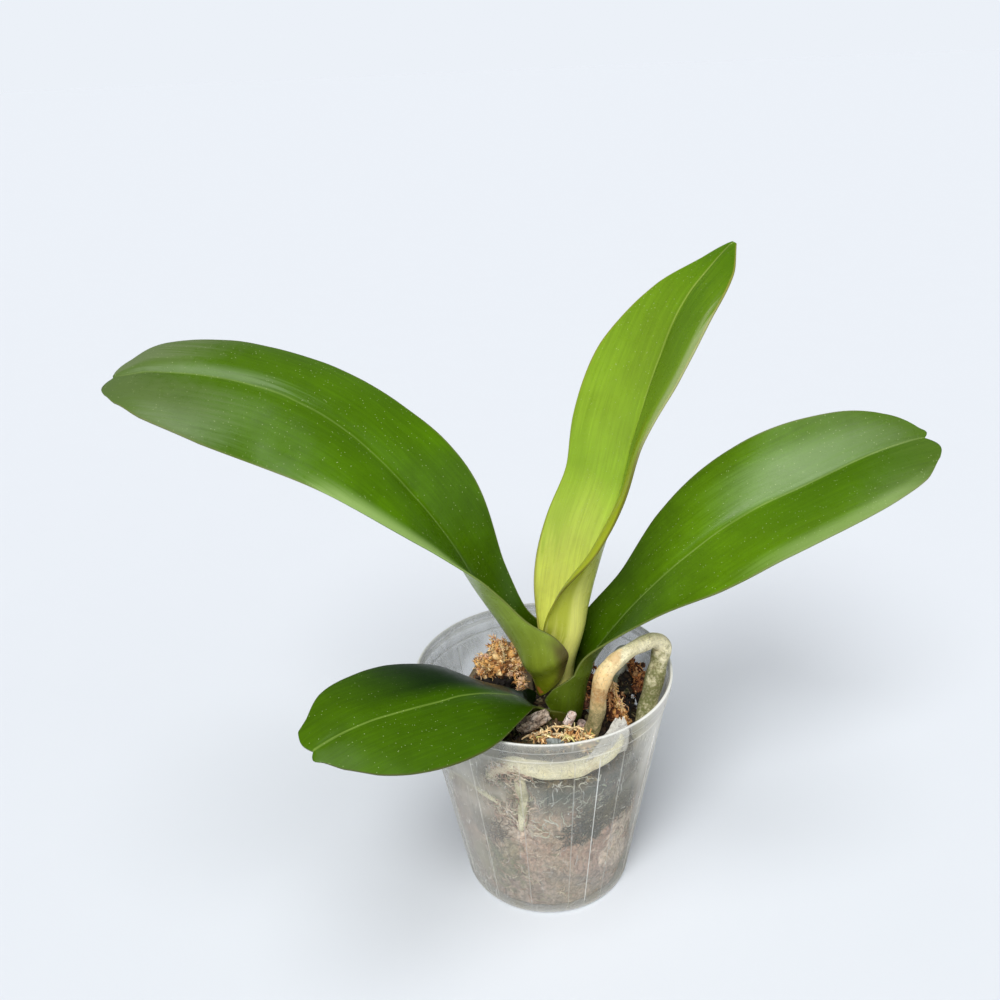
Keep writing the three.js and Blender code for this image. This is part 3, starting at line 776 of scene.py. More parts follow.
@dataclass(frozen=True)
class LeafFinish:
    """The living surface of a leaf: waxy, veined, paler at its foot and beneath, with painted
    sheen, glints and shade laid on it.
    """

    name: str
    foot: Colour
    lower: Colour
    blade: Colour
    end: Colour
    beneath: Colour
    beneath_foot: Colour
    margin: Colour
    rib: Colour
    rib_share: float = 0.35
    # The grey bloom near the tip: partly wax bloom, partly painted sheen.
    bloom_and_sheen: float = 0.2
    roughness: float = 0.3
    glow: float = 0.0
    stops: Four = (0.0, 0.16, 0.5, 0.95)
    beneath_stop: float = 0.3
    zones: tuple[EdgeZone, ...] = ()
    stains: tuple[Stain, ...] = ()
    # The tone of that bloom, partly wax and partly painted sheen.
    bloom_and_sheen_tone: Colour = (112, 124, 86)
    # Pale specks, large enough to show as glints: partly real specks, partly painted highlights.
    specks_and_glints: Colour = (206, 218, 160)

    def lay_zone(self, graph: Surface, strip: EdgeZone, across: Socket, along: Socket,
                 streak: Socket) -> None:
        """Lays the tone of a strip over the leaf's colour.

        Args:
            graph: The material in the making.
            strip: The strip.
            across: The share across, from -1 to 1.
            along: The share along, from 0 to 1.
            streak: Fine lines that run lengthwise, from 0 to 1.
        """
        start, end = strip.run
        offset = graph.times(across, strip.side)
        wave = graph.scale_add(streak, strip.streaked, -0.5 * strip.streaked)
        drawn = graph.math("ADD", along, wave)
        outset = graph.times(
            graph.span(offset, *strip.outset[:2]), graph.span(offset, *strip.outset[:1:-1]))
        begin = graph.span(drawn, start - strip.soft, start + strip.soft)
        finish = graph.span(drawn, end + strip.soft, end - strip.soft)
        graph.lay(strip.tone, graph.times(outset, graph.times(begin, finish)), strip.share)

    def build(self) -> Material:
        """Makes the material from the values kept along and across the leaf.

        Returns:
            The material.
        """
        graph = Surface(self.name)
        across_share, along, face = graph.split(graph.kept("leaf_share", "Vector"))
        flat = graph.kept("leaf_mm", "Vector")
        grain = graph.group(EFFECTS.grain, Place=flat, Across=0.7, Along=0.02, Mottle_Scale=0.035)
        fine = graph.group(EFFECTS.grain, Place=flat, Across=2.6, Along=0.07, Mottle_Scale=0.3)
        shifted = graph.math("ADD", along, graph.scale_add(grain["Mottle"], 0.16, -0.08))
        tones = (self.foot, self.lower, self.blade, self.end)
        top = graph.ramp(shifted, list(zip(self.stops, tones)))
        under = graph.ramp(
            shifted, [(0, self.beneath_foot), (self.beneath_stop, self.beneath),
                      (1, self.beneath)])
        graph.colour = graph.mix(face, under, top)
        veins = graph.span(grain["Grain"], 0.3, 0.7, 0.92, 1.07)
        threads = graph.span(fine["Grain"], 0.3, 0.7, 0.94, 1.06)
        cloud = graph.span(grain["Mottle"], 0.3, 0.7, 0.88, 1.12)
        graph.shade(graph.times(graph.times(veins, threads), cloud))
        rib_place = graph.math("ABSOLUTE", graph.split(flat)[0])
        rib = graph.span(rib_place, 0.75, 0.1, 0, self.rib_share)
        graph.lay(self.rib, graph.times(rib, graph.span(fine["Grain"], 0.3, 0.6, 0.4, 1)))
        edge = graph.math("ABSOLUTE", across_share)
        # Grey bloom towards the tip and the margins: partly wax bloom, partly painted sheen.
        crackle = graph.scale_add(fine["Mottle"], 0.12, graph.scale_add(edge, 0.1, shifted))
        graph.lay(self.bloom_and_sheen_tone, graph.span(crackle, 0.9, 1.04, 0, self.bloom_and_sheen))
        # Pale specks that also stand in for glints: partly real specks, partly painted highlights.
        dots = graph.mask(EFFECTS.speckle, Place=flat, Scale=0.8, Size=0.17, Share=0.4)
        graph.lay(self.specks_and_glints, dots, 0.55)
        worn = graph.span(grain["Mottle"], 0.3, 0.6, 0.35, 0.8)
        graph.lay(self.margin, graph.times(graph.span(edge, 0.965, 0.998), worn))
        # The strips hold the leaf's own tones, and painted sheen and painted shade.
        for strip in self.zones:
            self.lay_zone(graph, strip, across_share, along, grain["Grain"])
        place = graph.place_in_mm()
        for centre, reach, tone, share in self.stains:
            graph.lay(tone, graph.mask(EFFECTS.patch, Place=place, Centre=centre, Reach=reach,
                                       Ragged=0.7, Scale=0.3), share)
        relief = graph.scale_add(grain["Grain"], 0.7, fine["Grain"])
        relief = graph.scale_add(graph.noise(flat, 1.6), 0.35, relief)
        return graph.finished(
            Roughness=graph.span(
                fine["Mottle"], 0.3, 0.8, self.roughness - 0.04, self.roughness + 0.08),
            Normal=graph.bump(relief, 0.2, 0.3), IOR=1.45, Specular_IOR_Level=0.2,
            Subsurface_Weight=self.glow, Subsurface_Radius=(0.6, 0.8, 0.15),
            Subsurface_Scale=0.004)


class RootSkin(Enum):
    """Which skin a root wears."""

    SILVER = "silver_root"
    PALE = "pale_root"
    GREEN = "green_root"
    GREY = "grey_root"
    DEAD = "dead_root"
    PAPERY = "papery_skin"


@dataclass(frozen=True)
class RootFinish:
    """A root's silvery skin with green or brown showing through."""

    kind: RootSkin
    skin: Colour
    shade: Colour
    through: Colour
    peeled: Colour = (226, 206, 160)
    stains: tuple[Stain, ...] = ()
    speckle_share: float = 0.5
    dirt: Colour = (92, 72, 44)
    cracked: Colour = (110, 92, 60)

    def build(self) -> Material:
        """Makes the material from the object's own place and the run along the root.

        Returns:
            The material.
        """
        graph = Surface(self.kind.value)
        place = graph.place_in_mm()
        flat = graph.kept("root_mm", "Vector")
        grain = graph.group(EFFECTS.grain, Place=flat, Across=0.75, Along=0.12, Mottle_Scale=0.12)
        graph.colour = graph.mix(graph.span(grain["Mottle"], 0.35, 0.68), self.skin, self.shade)
        graph.lay(self.through, graph.span(grain["Grain"], 0.45, 0.75, 0, 0.55))
        graph.lay(self.peeled, graph.kept("peel"), 0.75)
        fine = graph.noise(place, 0.9, 3.0, 0.65)
        graph.shade(graph.span(fine, 0.25, 0.75, 0.8, 1.12))
        for centre, reach, tone, share in self.stains:
            patch = graph.mask(
                EFFECTS.patch, Place=place, Centre=centre, Reach=reach, Ragged=0.9, Scale=0.22)
            graph.lay(tone, graph.times(patch, graph.span(fine, 0.35, 0.6, 0.35 * share, share)))
        graph.lay(self.dirt, graph.mask(EFFECTS.speckle, Place=place, Scale=0.9, Size=0.2,
                                        Share=self.speckle_share), 0.5)
        cracks = graph.mask(EFFECTS.hairlines, Place=flat, Scale=0.35, Width=0.03, Share=0.55)
        graph.lay(self.cracked, cracks, 0.45)
        relief = graph.math("SUBTRACT", graph.scale_add(fine, 0.8, grain["Grain"]), cracks)
        return graph.finished(
            Roughness=graph.span(fine, 0.2, 0.8, 0.6, 0.85), Normal=graph.bump(relief, 0.55, 0.5))


@dataclass(frozen=True)
class PotFinish:
    """Thin clear plastic, milky with wear, water marks and hairline scratches, with painted sheen
    and shade.
    """

    name: str = "clear_plastic"
    tone: Colour = (196, 197, 190)
    lime: Colour = (184, 178, 158)
    mist: Colour = (204, 202, 188)
    # The deep grey is painted shade, laid on the back and in the fog on the right half.
    deep: Colour = (112, 122, 118)
    mark: Colour = (240, 240, 236)
    # The pale tone is painted sheen down the left and right of the front.
    pale: Colour = (224, 220, 210)
    clearest: float = 0.06
    haze: float = 0.14
    fogged: float = 0.3
    marks: float = 0.42
    slanted: float = 0.24
    # More cover where the sheen and the shade are painted.
    right_sheen_cover: float = 0.4
    left_sheen_cover: float = 0.22
    back_shade_cover: float = 0.08
    moulded: float = 0.6
    inner_share: float = 0.45

    def build(self) -> Material:
        """Makes the material from the object's own place.

        Returns:
            The material.
        """
        graph = Surface(self.name)
        place = graph.place_in_mm()
        across, deep, height = graph.split(place)
        film = graph.noise(graph.vector("MULTIPLY", place, (1, 1, 0.55)), 0.07, 5.0, 0.65, 0.4)
        grit = graph.noise(place, 0.8, 3.0, 0.7)
        haze = graph.times(
            graph.span(film, 0.35, 0.72, 0.25, 1), graph.span(height, 70, 20, 0.8, 1.2))
        fog = graph.times(graph.kept("fog"), graph.span(film, 0.3, 0.6, 0.7, 1))
        lines = graph.math("ADD", *(
            graph.mask(EFFECTS.hairlines, Place=place, Scale=scale, Width=width, Share=share)
            for scale, width, share in ((0.05, 0.004, 0.5), (0.2, 0.012, 0.44))))
        upright = graph.vector("MULTIPLY", place, (1, 1, 0.12))
        lines = graph.scale_add(
            graph.mask(EFFECTS.hairlines, Place=upright, Scale=0.22, Width=0.014, Share=0.5), 0.6,
            lines)
        lines = graph.scale_add(
            graph.mask(EFFECTS.speckle, Place=place, Scale=0.45, Size=0.09, Share=0.3), 0.5, lines,
            clamp=True)
        edge = graph.kept("moulded")
        slant = graph.node("ShaderNodeLayerWeight", 0.35).outputs["Facing"]
        # Painted sheen down the left and right of the front, and painted shade over the back.
        front = graph.span(deep, 10, -10)
        right_sheen = graph.times(graph.span(across, 34, 50), front)
        left_sheen = graph.times(graph.span(across, -16, -40), front)
        back_shade = graph.span(deep, -5, 20)
        cover = graph.scale_add(haze, self.haze, self.clearest)
        cover = graph.scale_add(fog, self.fogged, cover)
        cover = graph.times(cover, graph.span(graph.kept("touch"), 0, 1, 1, 0.6))
        for mask, share in ((slant, self.slanted), (lines, self.marks),
                            (right_sheen, self.right_sheen_cover), (left_sheen, self.left_sheen_cover),
                            (back_shade, self.back_shade_cover), (edge, self.moulded)):
            cover = graph.scale_add(mask, share, cover)
        side = graph.span(graph.kept("outer"), 0, 1, self.inner_share, 1, smooth=False)
        graph.colour = graph.mix(graph.span(film, 0.3, 0.7), self.tone, self.lime)
        # Painted shade: on the right half, below the rim, the fog turns dark grey.
        drifted = graph.scale_add(film, 30, across)
        dim = graph.times(graph.span(drifted, 0, 18), graph.span(drifted, 62, 44))
        dim = graph.times(dim, graph.span(height, 96, 84))
        graph.lay(graph.mix(dim, self.mist, self.deep), fog, 0.85)
        # Painted shade over the back, then painted sheen down the sides.
        graph.lay(self.deep, back_shade, 0.7)
        graph.lay(self.pale, graph.scale_add(left_sheen, 0.7, graph.times(right_sheen, 0.85)))
        graph.lay(self.mark, graph.math("MAXIMUM", lines, graph.times(edge, 0.8)))
        relief = graph.scale_add(lines, 0.4, graph.scale_add(grit, 0.25, film))
        return graph.finished(
            Alpha=graph.times(cover, side, clamp=True), IOR=1.48,
            Roughness=graph.scale_add(lines, 0.25, graph.span(film, 0.3, 0.8, 0.22, 0.45)),
            Normal=graph.bump(relief, 0.25, 0.4))


class MossKind(Enum):
    """Which moss a tuft is made of."""

    RUST = "rust_moss"
    TAN = "tan_moss"
    BROWN = "brown_moss"
    WALL = "wall_moss"
    SMUDGE = "smudge_moss"
    SCRIBBLE = "scribble_moss"
    WISP = "wisp_moss"
    DAMP = "damp_moss"


@dataclass(frozen=True)
class MossFinish:
    """Dry or damp moss fibre, each strand with a colour of its own, with painted shade at strand
    feet and in clod dents.
    """

    kind: MossKind
    colours: tuple[Colour, ...]
    deepest_shade: float = 0.3
    roughness: float = 0.85

    def build(self) -> Material:
        """Makes the material from each strand's tint and its run.

        Returns:
            The material.
        """
        graph = Surface(self.kind.value)
        stops = [(k / (len(self.colours) - 1), c) for k, c in enumerate(self.colours)]
        graph.colour = graph.ramp(graph.kept("tint"), stops)
        grain = graph.group(
            EFFECTS.grain, Place=graph.place_in_mm(), Across=1.2, Along=1.2, Mottle_Scale=0.3)
        graph.shade(graph.span(grain["Grain"], 0.25, 0.75, 0.7, 1.3))
        # Painted shade: darker towards a strand's foot and in a clod's dents.
        graph.shade(graph.span(graph.kept("run"), 0, 0.9, self.deepest_shade, 1.2))
        return graph.finished(
            Roughness=self.roughness, Normal=graph.bump(grain["Mottle"], 0.4, 0.3))


@dataclass(frozen=True)
class BarkFinish:
    """Weathered bark: layered grain, dark cracks and a pale dusty crust."""

    name: str
    dark: Colour
    light: Colour
    crust: Colour
    crust_share: float = 0.35
    cracked: Colour = (34, 25, 19)

    def build(self) -> Material:
        """Makes the material from the object's own place.

        Returns:
            The material.
        """
        graph = Surface(self.name)
        place = graph.place_in_mm()
        grain = graph.group(EFFECTS.grain, Place=place, Across=0.9, Along=0.22, Mottle_Scale=0.2)
        graph.colour = graph.mix(graph.span(grain["Grain"], 0.35, 0.7), self.dark, self.light)
        graph.lay(self.crust, graph.span(grain["Mottle"], 0.5, 0.64), self.crust_share)
        cracks = graph.mask(EFFECTS.hairlines, Place=place, Scale=0.3, Width=0.04, Share=0.6)
        graph.lay(self.cracked, cracks, 0.7)
        relief = graph.math("SUBTRACT", grain["Grain"], cracks)
        return graph.finished(
            Roughness=graph.span(grain["Mottle"], 0.3, 0.7, 0.7, 0.95),
            Normal=graph.bump(relief, 0.8, 0.8))


@dataclass(frozen=True)
class PottedFinish:
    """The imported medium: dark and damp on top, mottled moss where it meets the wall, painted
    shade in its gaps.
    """

    name: str = "packed_medium"
    pale: Colour = (206, 182, 158)
    pink: Colour = (184, 148, 128)
    brown: Colour = (116, 84, 60)
    dark: Colour = (40, 38, 28)
    murk: Colour = (122, 112, 88)
    green: Colour = (112, 128, 88)
    grey: Colour = (158, 146, 138)
    cream: Colour = (238, 218, 196)
    # The tones of the painted shade in the gaps behind the wall: dark, and paler on the left.
    gap_shadow: Colour = (56, 64, 54)
    dim: Colour = (198, 184, 154)

    def spots(self) -> tuple[Stain, ...]:
        """Lists the larger patches that show through the wall.

        Returns:
            Each patch's centre, reach, tone and share.
        """
        return (
            ((-33.5, -36, 62), 13, self.cream, 0.8), ((-24, -42, 53), 9, self.cream, 0.6),
            ((22.2, -44.3, 60), 13, self.murk, 0.8), ((36, -34, 61), 13, self.murk, 0.8),
            ((15.3, -46, 52), 10, self.brown, 0.6), ((-28, -31, 22), 18, self.green, 0.55),
            ((-20, -38, 38), 10, self.green, 0.45), ((-13, -47, 68), 7, self.cream, 0.8),
            ((-12, -46, 52), 9, self.cream, 0.35), ((-38, -25, 66), 12, self.cream, 0.6),
            ((36, -25, 34), 19, self.cream, 0.8), ((30, 34, 48), 17, self.dark, 0.6),
            ((-34, 32, 34), 16, self.green, 0.5), ((0, 46, 62), 14, self.brown, 0.6))

    def build(self) -> Material:
        """Makes the material from the object's own place.

        Returns:
            The material.
        """
        graph = Surface(self.name)
        place = graph.place_in_mm()
        across, _, height = graph.split(place)
        broad = graph.noise(graph.vector("MULTIPLY", place, (1, 1, 0.5)), 0.07, 4.0, 0.65, 0.8)
        fine = graph.noise(place, 0.5, 4.0, 0.7, 0.5)
        graph.colour = graph.ramp(
            broad, [(0.3, self.brown), (0.42, self.pink), (0.55, self.pale), (0.7, self.grey)])
        graph.lay(self.grey, graph.span(height, 44, 14, 0, 0.65))
        for centre, reach, tone, share in self.spots():
            graph.lay(tone, graph.mask(EFFECTS.patch, Place=place, Centre=centre, Reach=reach,
                                       Ragged=0.8, Scale=0.16), share)
        streak = graph.noise(graph.vector("MULTIPLY", place, (1, 1, 0.16)), 0.5, 3.0, 0.6)
        graph.shade(graph.span(streak, 0.35, 0.65, 0.86, 1.1))
        # Painted shade in the gaps where the mass stands back from the wall, paler on the left.
        gap_shade = graph.mix(graph.span(across, -24, -4), self.dim, self.gap_shadow)
        graph.lay(gap_shade, graph.times(graph.kept("away"), graph.span(height, 60, 70, 0, 0.75)))
        graph.shade(graph.span(fine, 0.3, 0.7, 0.5, 1.3))
        damp = graph.ramp(
            fine, [(0.3, (16, 12, 8)), (0.5, (44, 32, 20)), (0.62, (88, 64, 40)),
                   (0.75, (56, 60, 30))])
        graph.lay(damp, graph.span(height, 74, 84))
        return graph.finished(Roughness=0.9, Normal=graph.bump(fine, 0.8, 1.0))


@dataclass(frozen=True)
class StageFinish:
    """The pale studio floor, with the faintest grain."""

    name: str = "studio_floor"
    tone: tuple[float, ...] = (0.735, 0.765, 0.807, 1.0)
    grain: float = 1.01

    def build(self) -> Material:
        """Makes the floor's material.

        Returns:
            The material.
        """
        graph = Surface(self.name)
        lighter = (*(c * self.grain for c in self.tone[:3]), 1.0)
        graph.colour = graph.mix(graph.noise(graph.place_in_mm(), 0.02), self.tone, lighter)
        return graph.finished(Roughness=0.9, Specular_IOR_Level=0.0)


# The plant


class LeafAge(Enum):
    """How old a leaf is."""

    YOUNG = "young_leaf"
    GROWN = "grown_leaf"
    OLD = "old_leaf"


PLUM = (66, 46, 34)
YOUNG_SKIN = LeafFinish(
    "young_leaf", foot=(222, 222, 108), lower=(222, 228, 110),
    blade=(150, 182, 52), end=(78, 116, 0), beneath=(146, 166, 66),
    beneath_foot=(226, 222, 122), margin=(138, 132, 52), rib=(208, 220, 122),
    rib_share=0.3, bloom_and_sheen=0, glow=0.1, stops=(0, 0.2, 0.48, 0.98), beneath_stop=0.6,
    zones=(
        # The third strip is painted sheen on the turned-back right margin; the fourth is painted
        # shade on the right half along the outer half of its length.
        EdgeZone(1, (0.5, 0.66, 1.1, 1.2), (0.12, 0.6), (150, 158, 22), 0.8),
        EdgeZone(1, (0.96, 0.99, 1.1, 1.2), (0.2, 0.62), PLUM, 0.55, streaked=0),
        EdgeZone(1, (0.78, 0.9, 1.1, 1.2), (0.58, 0.86), (196, 202, 160), 0.4),
        EdgeZone(1, (0, 0.12, 0.6, 0.9), (0.5, 0.9), (62, 104, 0), 0.4),
        EdgeZone(-1, (0.5, 0.8, 1.1, 1.2), (0.3, 0.6), (120, 152, 30), 0.4)))
LONG_SKIN = LeafFinish(
    "long_leaf", foot=(72, 84, 8), lower=(48, 76, 0), blade=(72, 110, 0),
    end=(66, 98, 4), beneath=(146, 172, 78), beneath_foot=(112, 122, 8),
    margin=(104, 112, 58), rib=(170, 192, 110), rib_share=0.2, bloom_and_sheen=0.35,
    zones=(
        # After the plum collar: painted sheen beside the rib on the right half and on the left
        # margin near the tip, a painted highlight along the middle of the left margin, and a greyer
        # tip on both halves that is partly wax bloom, partly painted sheen.
        EdgeZone(-1, (0.74, 0.92, 1.1, 1.2), (0.03, 0.11), PLUM, 0.8, 0.02, 0),
        EdgeZone(1, (0, 0.03, 0.1, 0.3), (0.72, 0.95), (158, 178, 138), 0.22),
        EdgeZone(-1, (0.5, 0.78, 0.92, 0.99), (0.78, 0.93), (136, 156, 116), 0.15),
        EdgeZone(-1, (0.74, 0.96, 1.1, 1.2), (0.3, 0.58), (138, 166, 92), 0.9, 0.07, 0.2),
        EdgeZone(-1, (0.05, 0.3, 0.6, 0.8), (0.8, 1.1), (86, 106, 54), 0.5),
        EdgeZone(1, (0.3, 0.5, 1.1, 1.2), (0.9, 1.1), (104, 118, 80), 0.75)),
    stains=(((-3, -13.5, 108.5), 2.8, (190, 120, 60), 0.9),))
RIGHT_SKIN = replace(
    LONG_SKIN, name="right_leaf", lower=(52, 80, 0), blade=(86, 124, 8),
    end=(66, 98, 0), beneath_foot=(60, 76, 4),
    beneath=(116, 142, 40), rib_share=0.3, bloom_and_sheen=0.12, stains=(),
    zones=(
        # All three strips are painted light: sheen beside the rib on the left half, sheen along the
        # right margin, and shade beside the rib on the right half.
        EdgeZone(-1, (0, 0.05, 0.4, 0.8), (0.62, 0.88), (170, 194, 146), 0.26, 0.12,
                 0.12),
        EdgeZone(1, (0.74, 0.92, 1.1, 1.2), (0.56, 0.92), (150, 176, 104), 0.45, 0.1,
                 0.12),
        EdgeZone(1, (0, 0.06, 0.5, 0.75), (0.6, 0.96), (58, 98, 0), 0.3)))
OLD_SKIN = LeafFinish(
    "old_leaf", foot=(76, 80, 14), lower=(38, 66, 0), blade=(56, 90, 0),
    end=(66, 100, 0), beneath=(96, 116, 30), beneath_foot=(78, 78, 22),
    margin=(80, 84, 40), rib=(158, 186, 88), rib_share=0.4, bloom_and_sheen=0,
    roughness=0.34,
    # The first strip is painted shadow of the long leaf over the right half, from the foot to the
    # middle; the second darkens the left half near the foot.
    zones=(EdgeZone(1, (0, 0.4, 1.1, 1.2), (-0.3, 0.7), (10, 34, 0), 0.95, 0.2, 0.05),
           EdgeZone(-1, (0, 0.3, 0.7, 1), (0.1, 0.4), (34, 62, 0), 0.4)))


@dataclass
class Leaf:
    """One strap leaf with its clasping sheath, from the foot of the sheath to the tip.

    Each row is a cross-section: run out from the stem, height, then for the left and the right
    half its width, the angle at which it rises from the midrib and how far it curls on its way
    to the margin. A ninth number turns the right margin back out.
    """

    node: str
    age: LeafAge
    finish: LeafFinish
    heading: float
    lobes: Pair
    rows: tuple[tuple[float, ...], ...]
    sheath_rows: int
    foot: Triple = (6.0, -8.0, 0.0)
    steps: int = 13
    half_columns: int = 16
    rib_thickness: float = 2.3
    margin_thickness: float = 0.9
    groove: float = 0.55
    keel: float = 0.7

    def half(self, start: Array, side: Array, up: Array, row: Array) -> Array:
        """Steps across one half of the leaf, from the midrib to the margin.

        Args:
            start: The midrib at each station.
            side: The direction across at each station.
            up: The direction up at each station.
            row: Width, rise, curl and flare at each station.

        Returns:
            Points as stations by columns by 3.
        """
        shares = np.sin(np.linspace(0, math.pi / 2, self.half_columns + 1))
        steps = np.diff(shares)
        middle = (shares[1:] + shares[:-1]) / 2
        width, rise, curl, flare = row.T
        angle = np.radians(
            rise[:, None] + curl[:, None] * middle + flare[:, None]
            * np.maximum(0, (middle - 0.75) / 0.25))
        stride = np.maximum(width, 0.1)[:, None] * steps
        move = (side[:, None] * (np.cos(angle) * stride)[..., None]
                + up[:, None] * (np.sin(angle) * stride)[..., None])
        return start[:, None] + np.concatenate(
            [np.zeros((len(start), 1, 3)), np.cumsum(move, axis=1)], axis=1)

    def surface(self) -> tuple[Array, Array, Array, Array]:
        """Lays out the middle surface of the leaf.

        Returns:
            Points as stations by columns by 3, the direction ahead at each station, the run
            along the leaf in millimetres, and the knot number of each station.
        """
        rows = np.array([list(r) + [0.0] * (9 - len(r)) for r in self.rows])
        last = len(rows) - 1
        times = np.linspace(0, last, last * self.steps + 1)
        rows_at = blend_rows(rows, times)
        turn = math.radians(self.heading)
        out = np.array([math.cos(turn), math.sin(turn), 0])
        across = np.array([-out[1], out[0], 0])

        def midrib(at: Array) -> Array:
            """The midrib's points at places between the rows."""
            run, height = blend_rows(rows, at)[:, :2].T
            return np.array(self.foot) + run[:, None] * out + height[:, None] * (0, 0, 1)

        ahead = unit(midrib(np.minimum(times + 1e-3, last)) - midrib(np.maximum(times - 1e-3, 0)))
        up = unit(np.cross(ahead, across))
        side = np.cross(up, ahead)
        start = midrib(times)
        left_row = np.column_stack([rows_at[:, 2:5], 0 * times])
        left = self.half(start, side, up, left_row)
        right = self.half(start, -side, up, rows_at[:, 5:9])
        points = np.concatenate([left[:, ::-1], right[:, 1:]], axis=1)
        middle = self.half_columns
        share = np.interp(last - times, [0, 1 / 3, 2 / 3, 1], [1, 0.45, 0.15, 0])
        columns = np.arange(2 * middle + 1)
        u = np.abs(np.sin((columns - middle) / middle * math.pi / 2))
        reach = np.sin(math.pi * u) * np.where(columns < middle, *self.lobes)
        points = points + (share[:, None] * reach)[..., None] * ahead[:, None]
        run = np.concatenate([[0], np.cumsum(np.linalg.norm(np.diff(start, axis=0), axis=1))])
        return points, ahead, run, times

    def shape(self) -> Shape:
        """Builds the leaf's closed skin.

        Returns:
            The shape, with its shares and its millimetres kept at the points.
        """
        points, ahead, run, times = self.surface()
        stations, columns, _ = points.shape
        middle = self.half_columns
        aside = np.gradient(points, axis=1)
        normal = unit(np.cross(aside, ahead[:, None]))
        offset = (np.arange(columns) - middle) / middle
        u = np.abs(np.sin(offset * math.pi / 2))
        steps = np.linalg.norm(np.diff(points, axis=1), axis=2)
        total = np.concatenate([np.zeros((stations, 1)), np.cumsum(steps, axis=1)], axis=1)
        across = total - total[:, middle:middle + 1]
        blade = np.clip((times - self.sheath_rows + 1) / 1.5, 0, 1)
        fade = blade * np.clip((times[-1] - times) / 0.8, 0.15, 1)
        thick = (self.margin_thickness
                 + (self.rib_thickness - self.margin_thickness) * (1 - u ** 0.6)) / 2
        thick = np.broadcast_to(thick, (stations, columns)).copy()
        thick *= np.interp(times[-1] - times, [0, 0.25], [0.55, 1])[:, None]
        deep = self.groove * fade * np.clip((times - self.sheath_rows - 0.5) / 1.4, 0, 1)
        top = thick - deep[:, None] * np.exp(-(across / 1.1) ** 2)
        under = thick + self.keel * fade[:, None] * np.exp(-(across / 1.5) ** 2)
        wave = 0.45 * lattice_noise(points, 26, 5) + 0.16 * lattice_noise(points, 9, 9)
        wave *= blade[:, None]
        upper = points + normal * (top + wave)[..., None]
        lower = points - normal * (under - wave)[..., None]
        ring = np.concatenate([upper, lower[:, ::-1]], axis=1)

        def kept(x: Array, y: Array, top: float, under: float) -> Array:
            """Lays numbers out over the top and back underneath."""
            over, beneath = grid(x, y[:, None], top), grid(x, y[:, None], under)
            return np.concatenate([over, beneath[:, ::-1]], axis=1).reshape(-1, 3)

        values = {"leaf_share": kept(np.sin(offset * math.pi / 2), run / run[-1], 1, 0),
                  "leaf_mm": kept(across, run, 0, 20)}
        return Shape(ring.reshape(-1, 3), slab_faces(stations, columns), values)

    def build(self) -> None:
        """Builds and dresses the leaf."""
        make_piece(
            self.node + "_blade", self.shape(), self.finish.build(), [self.node])


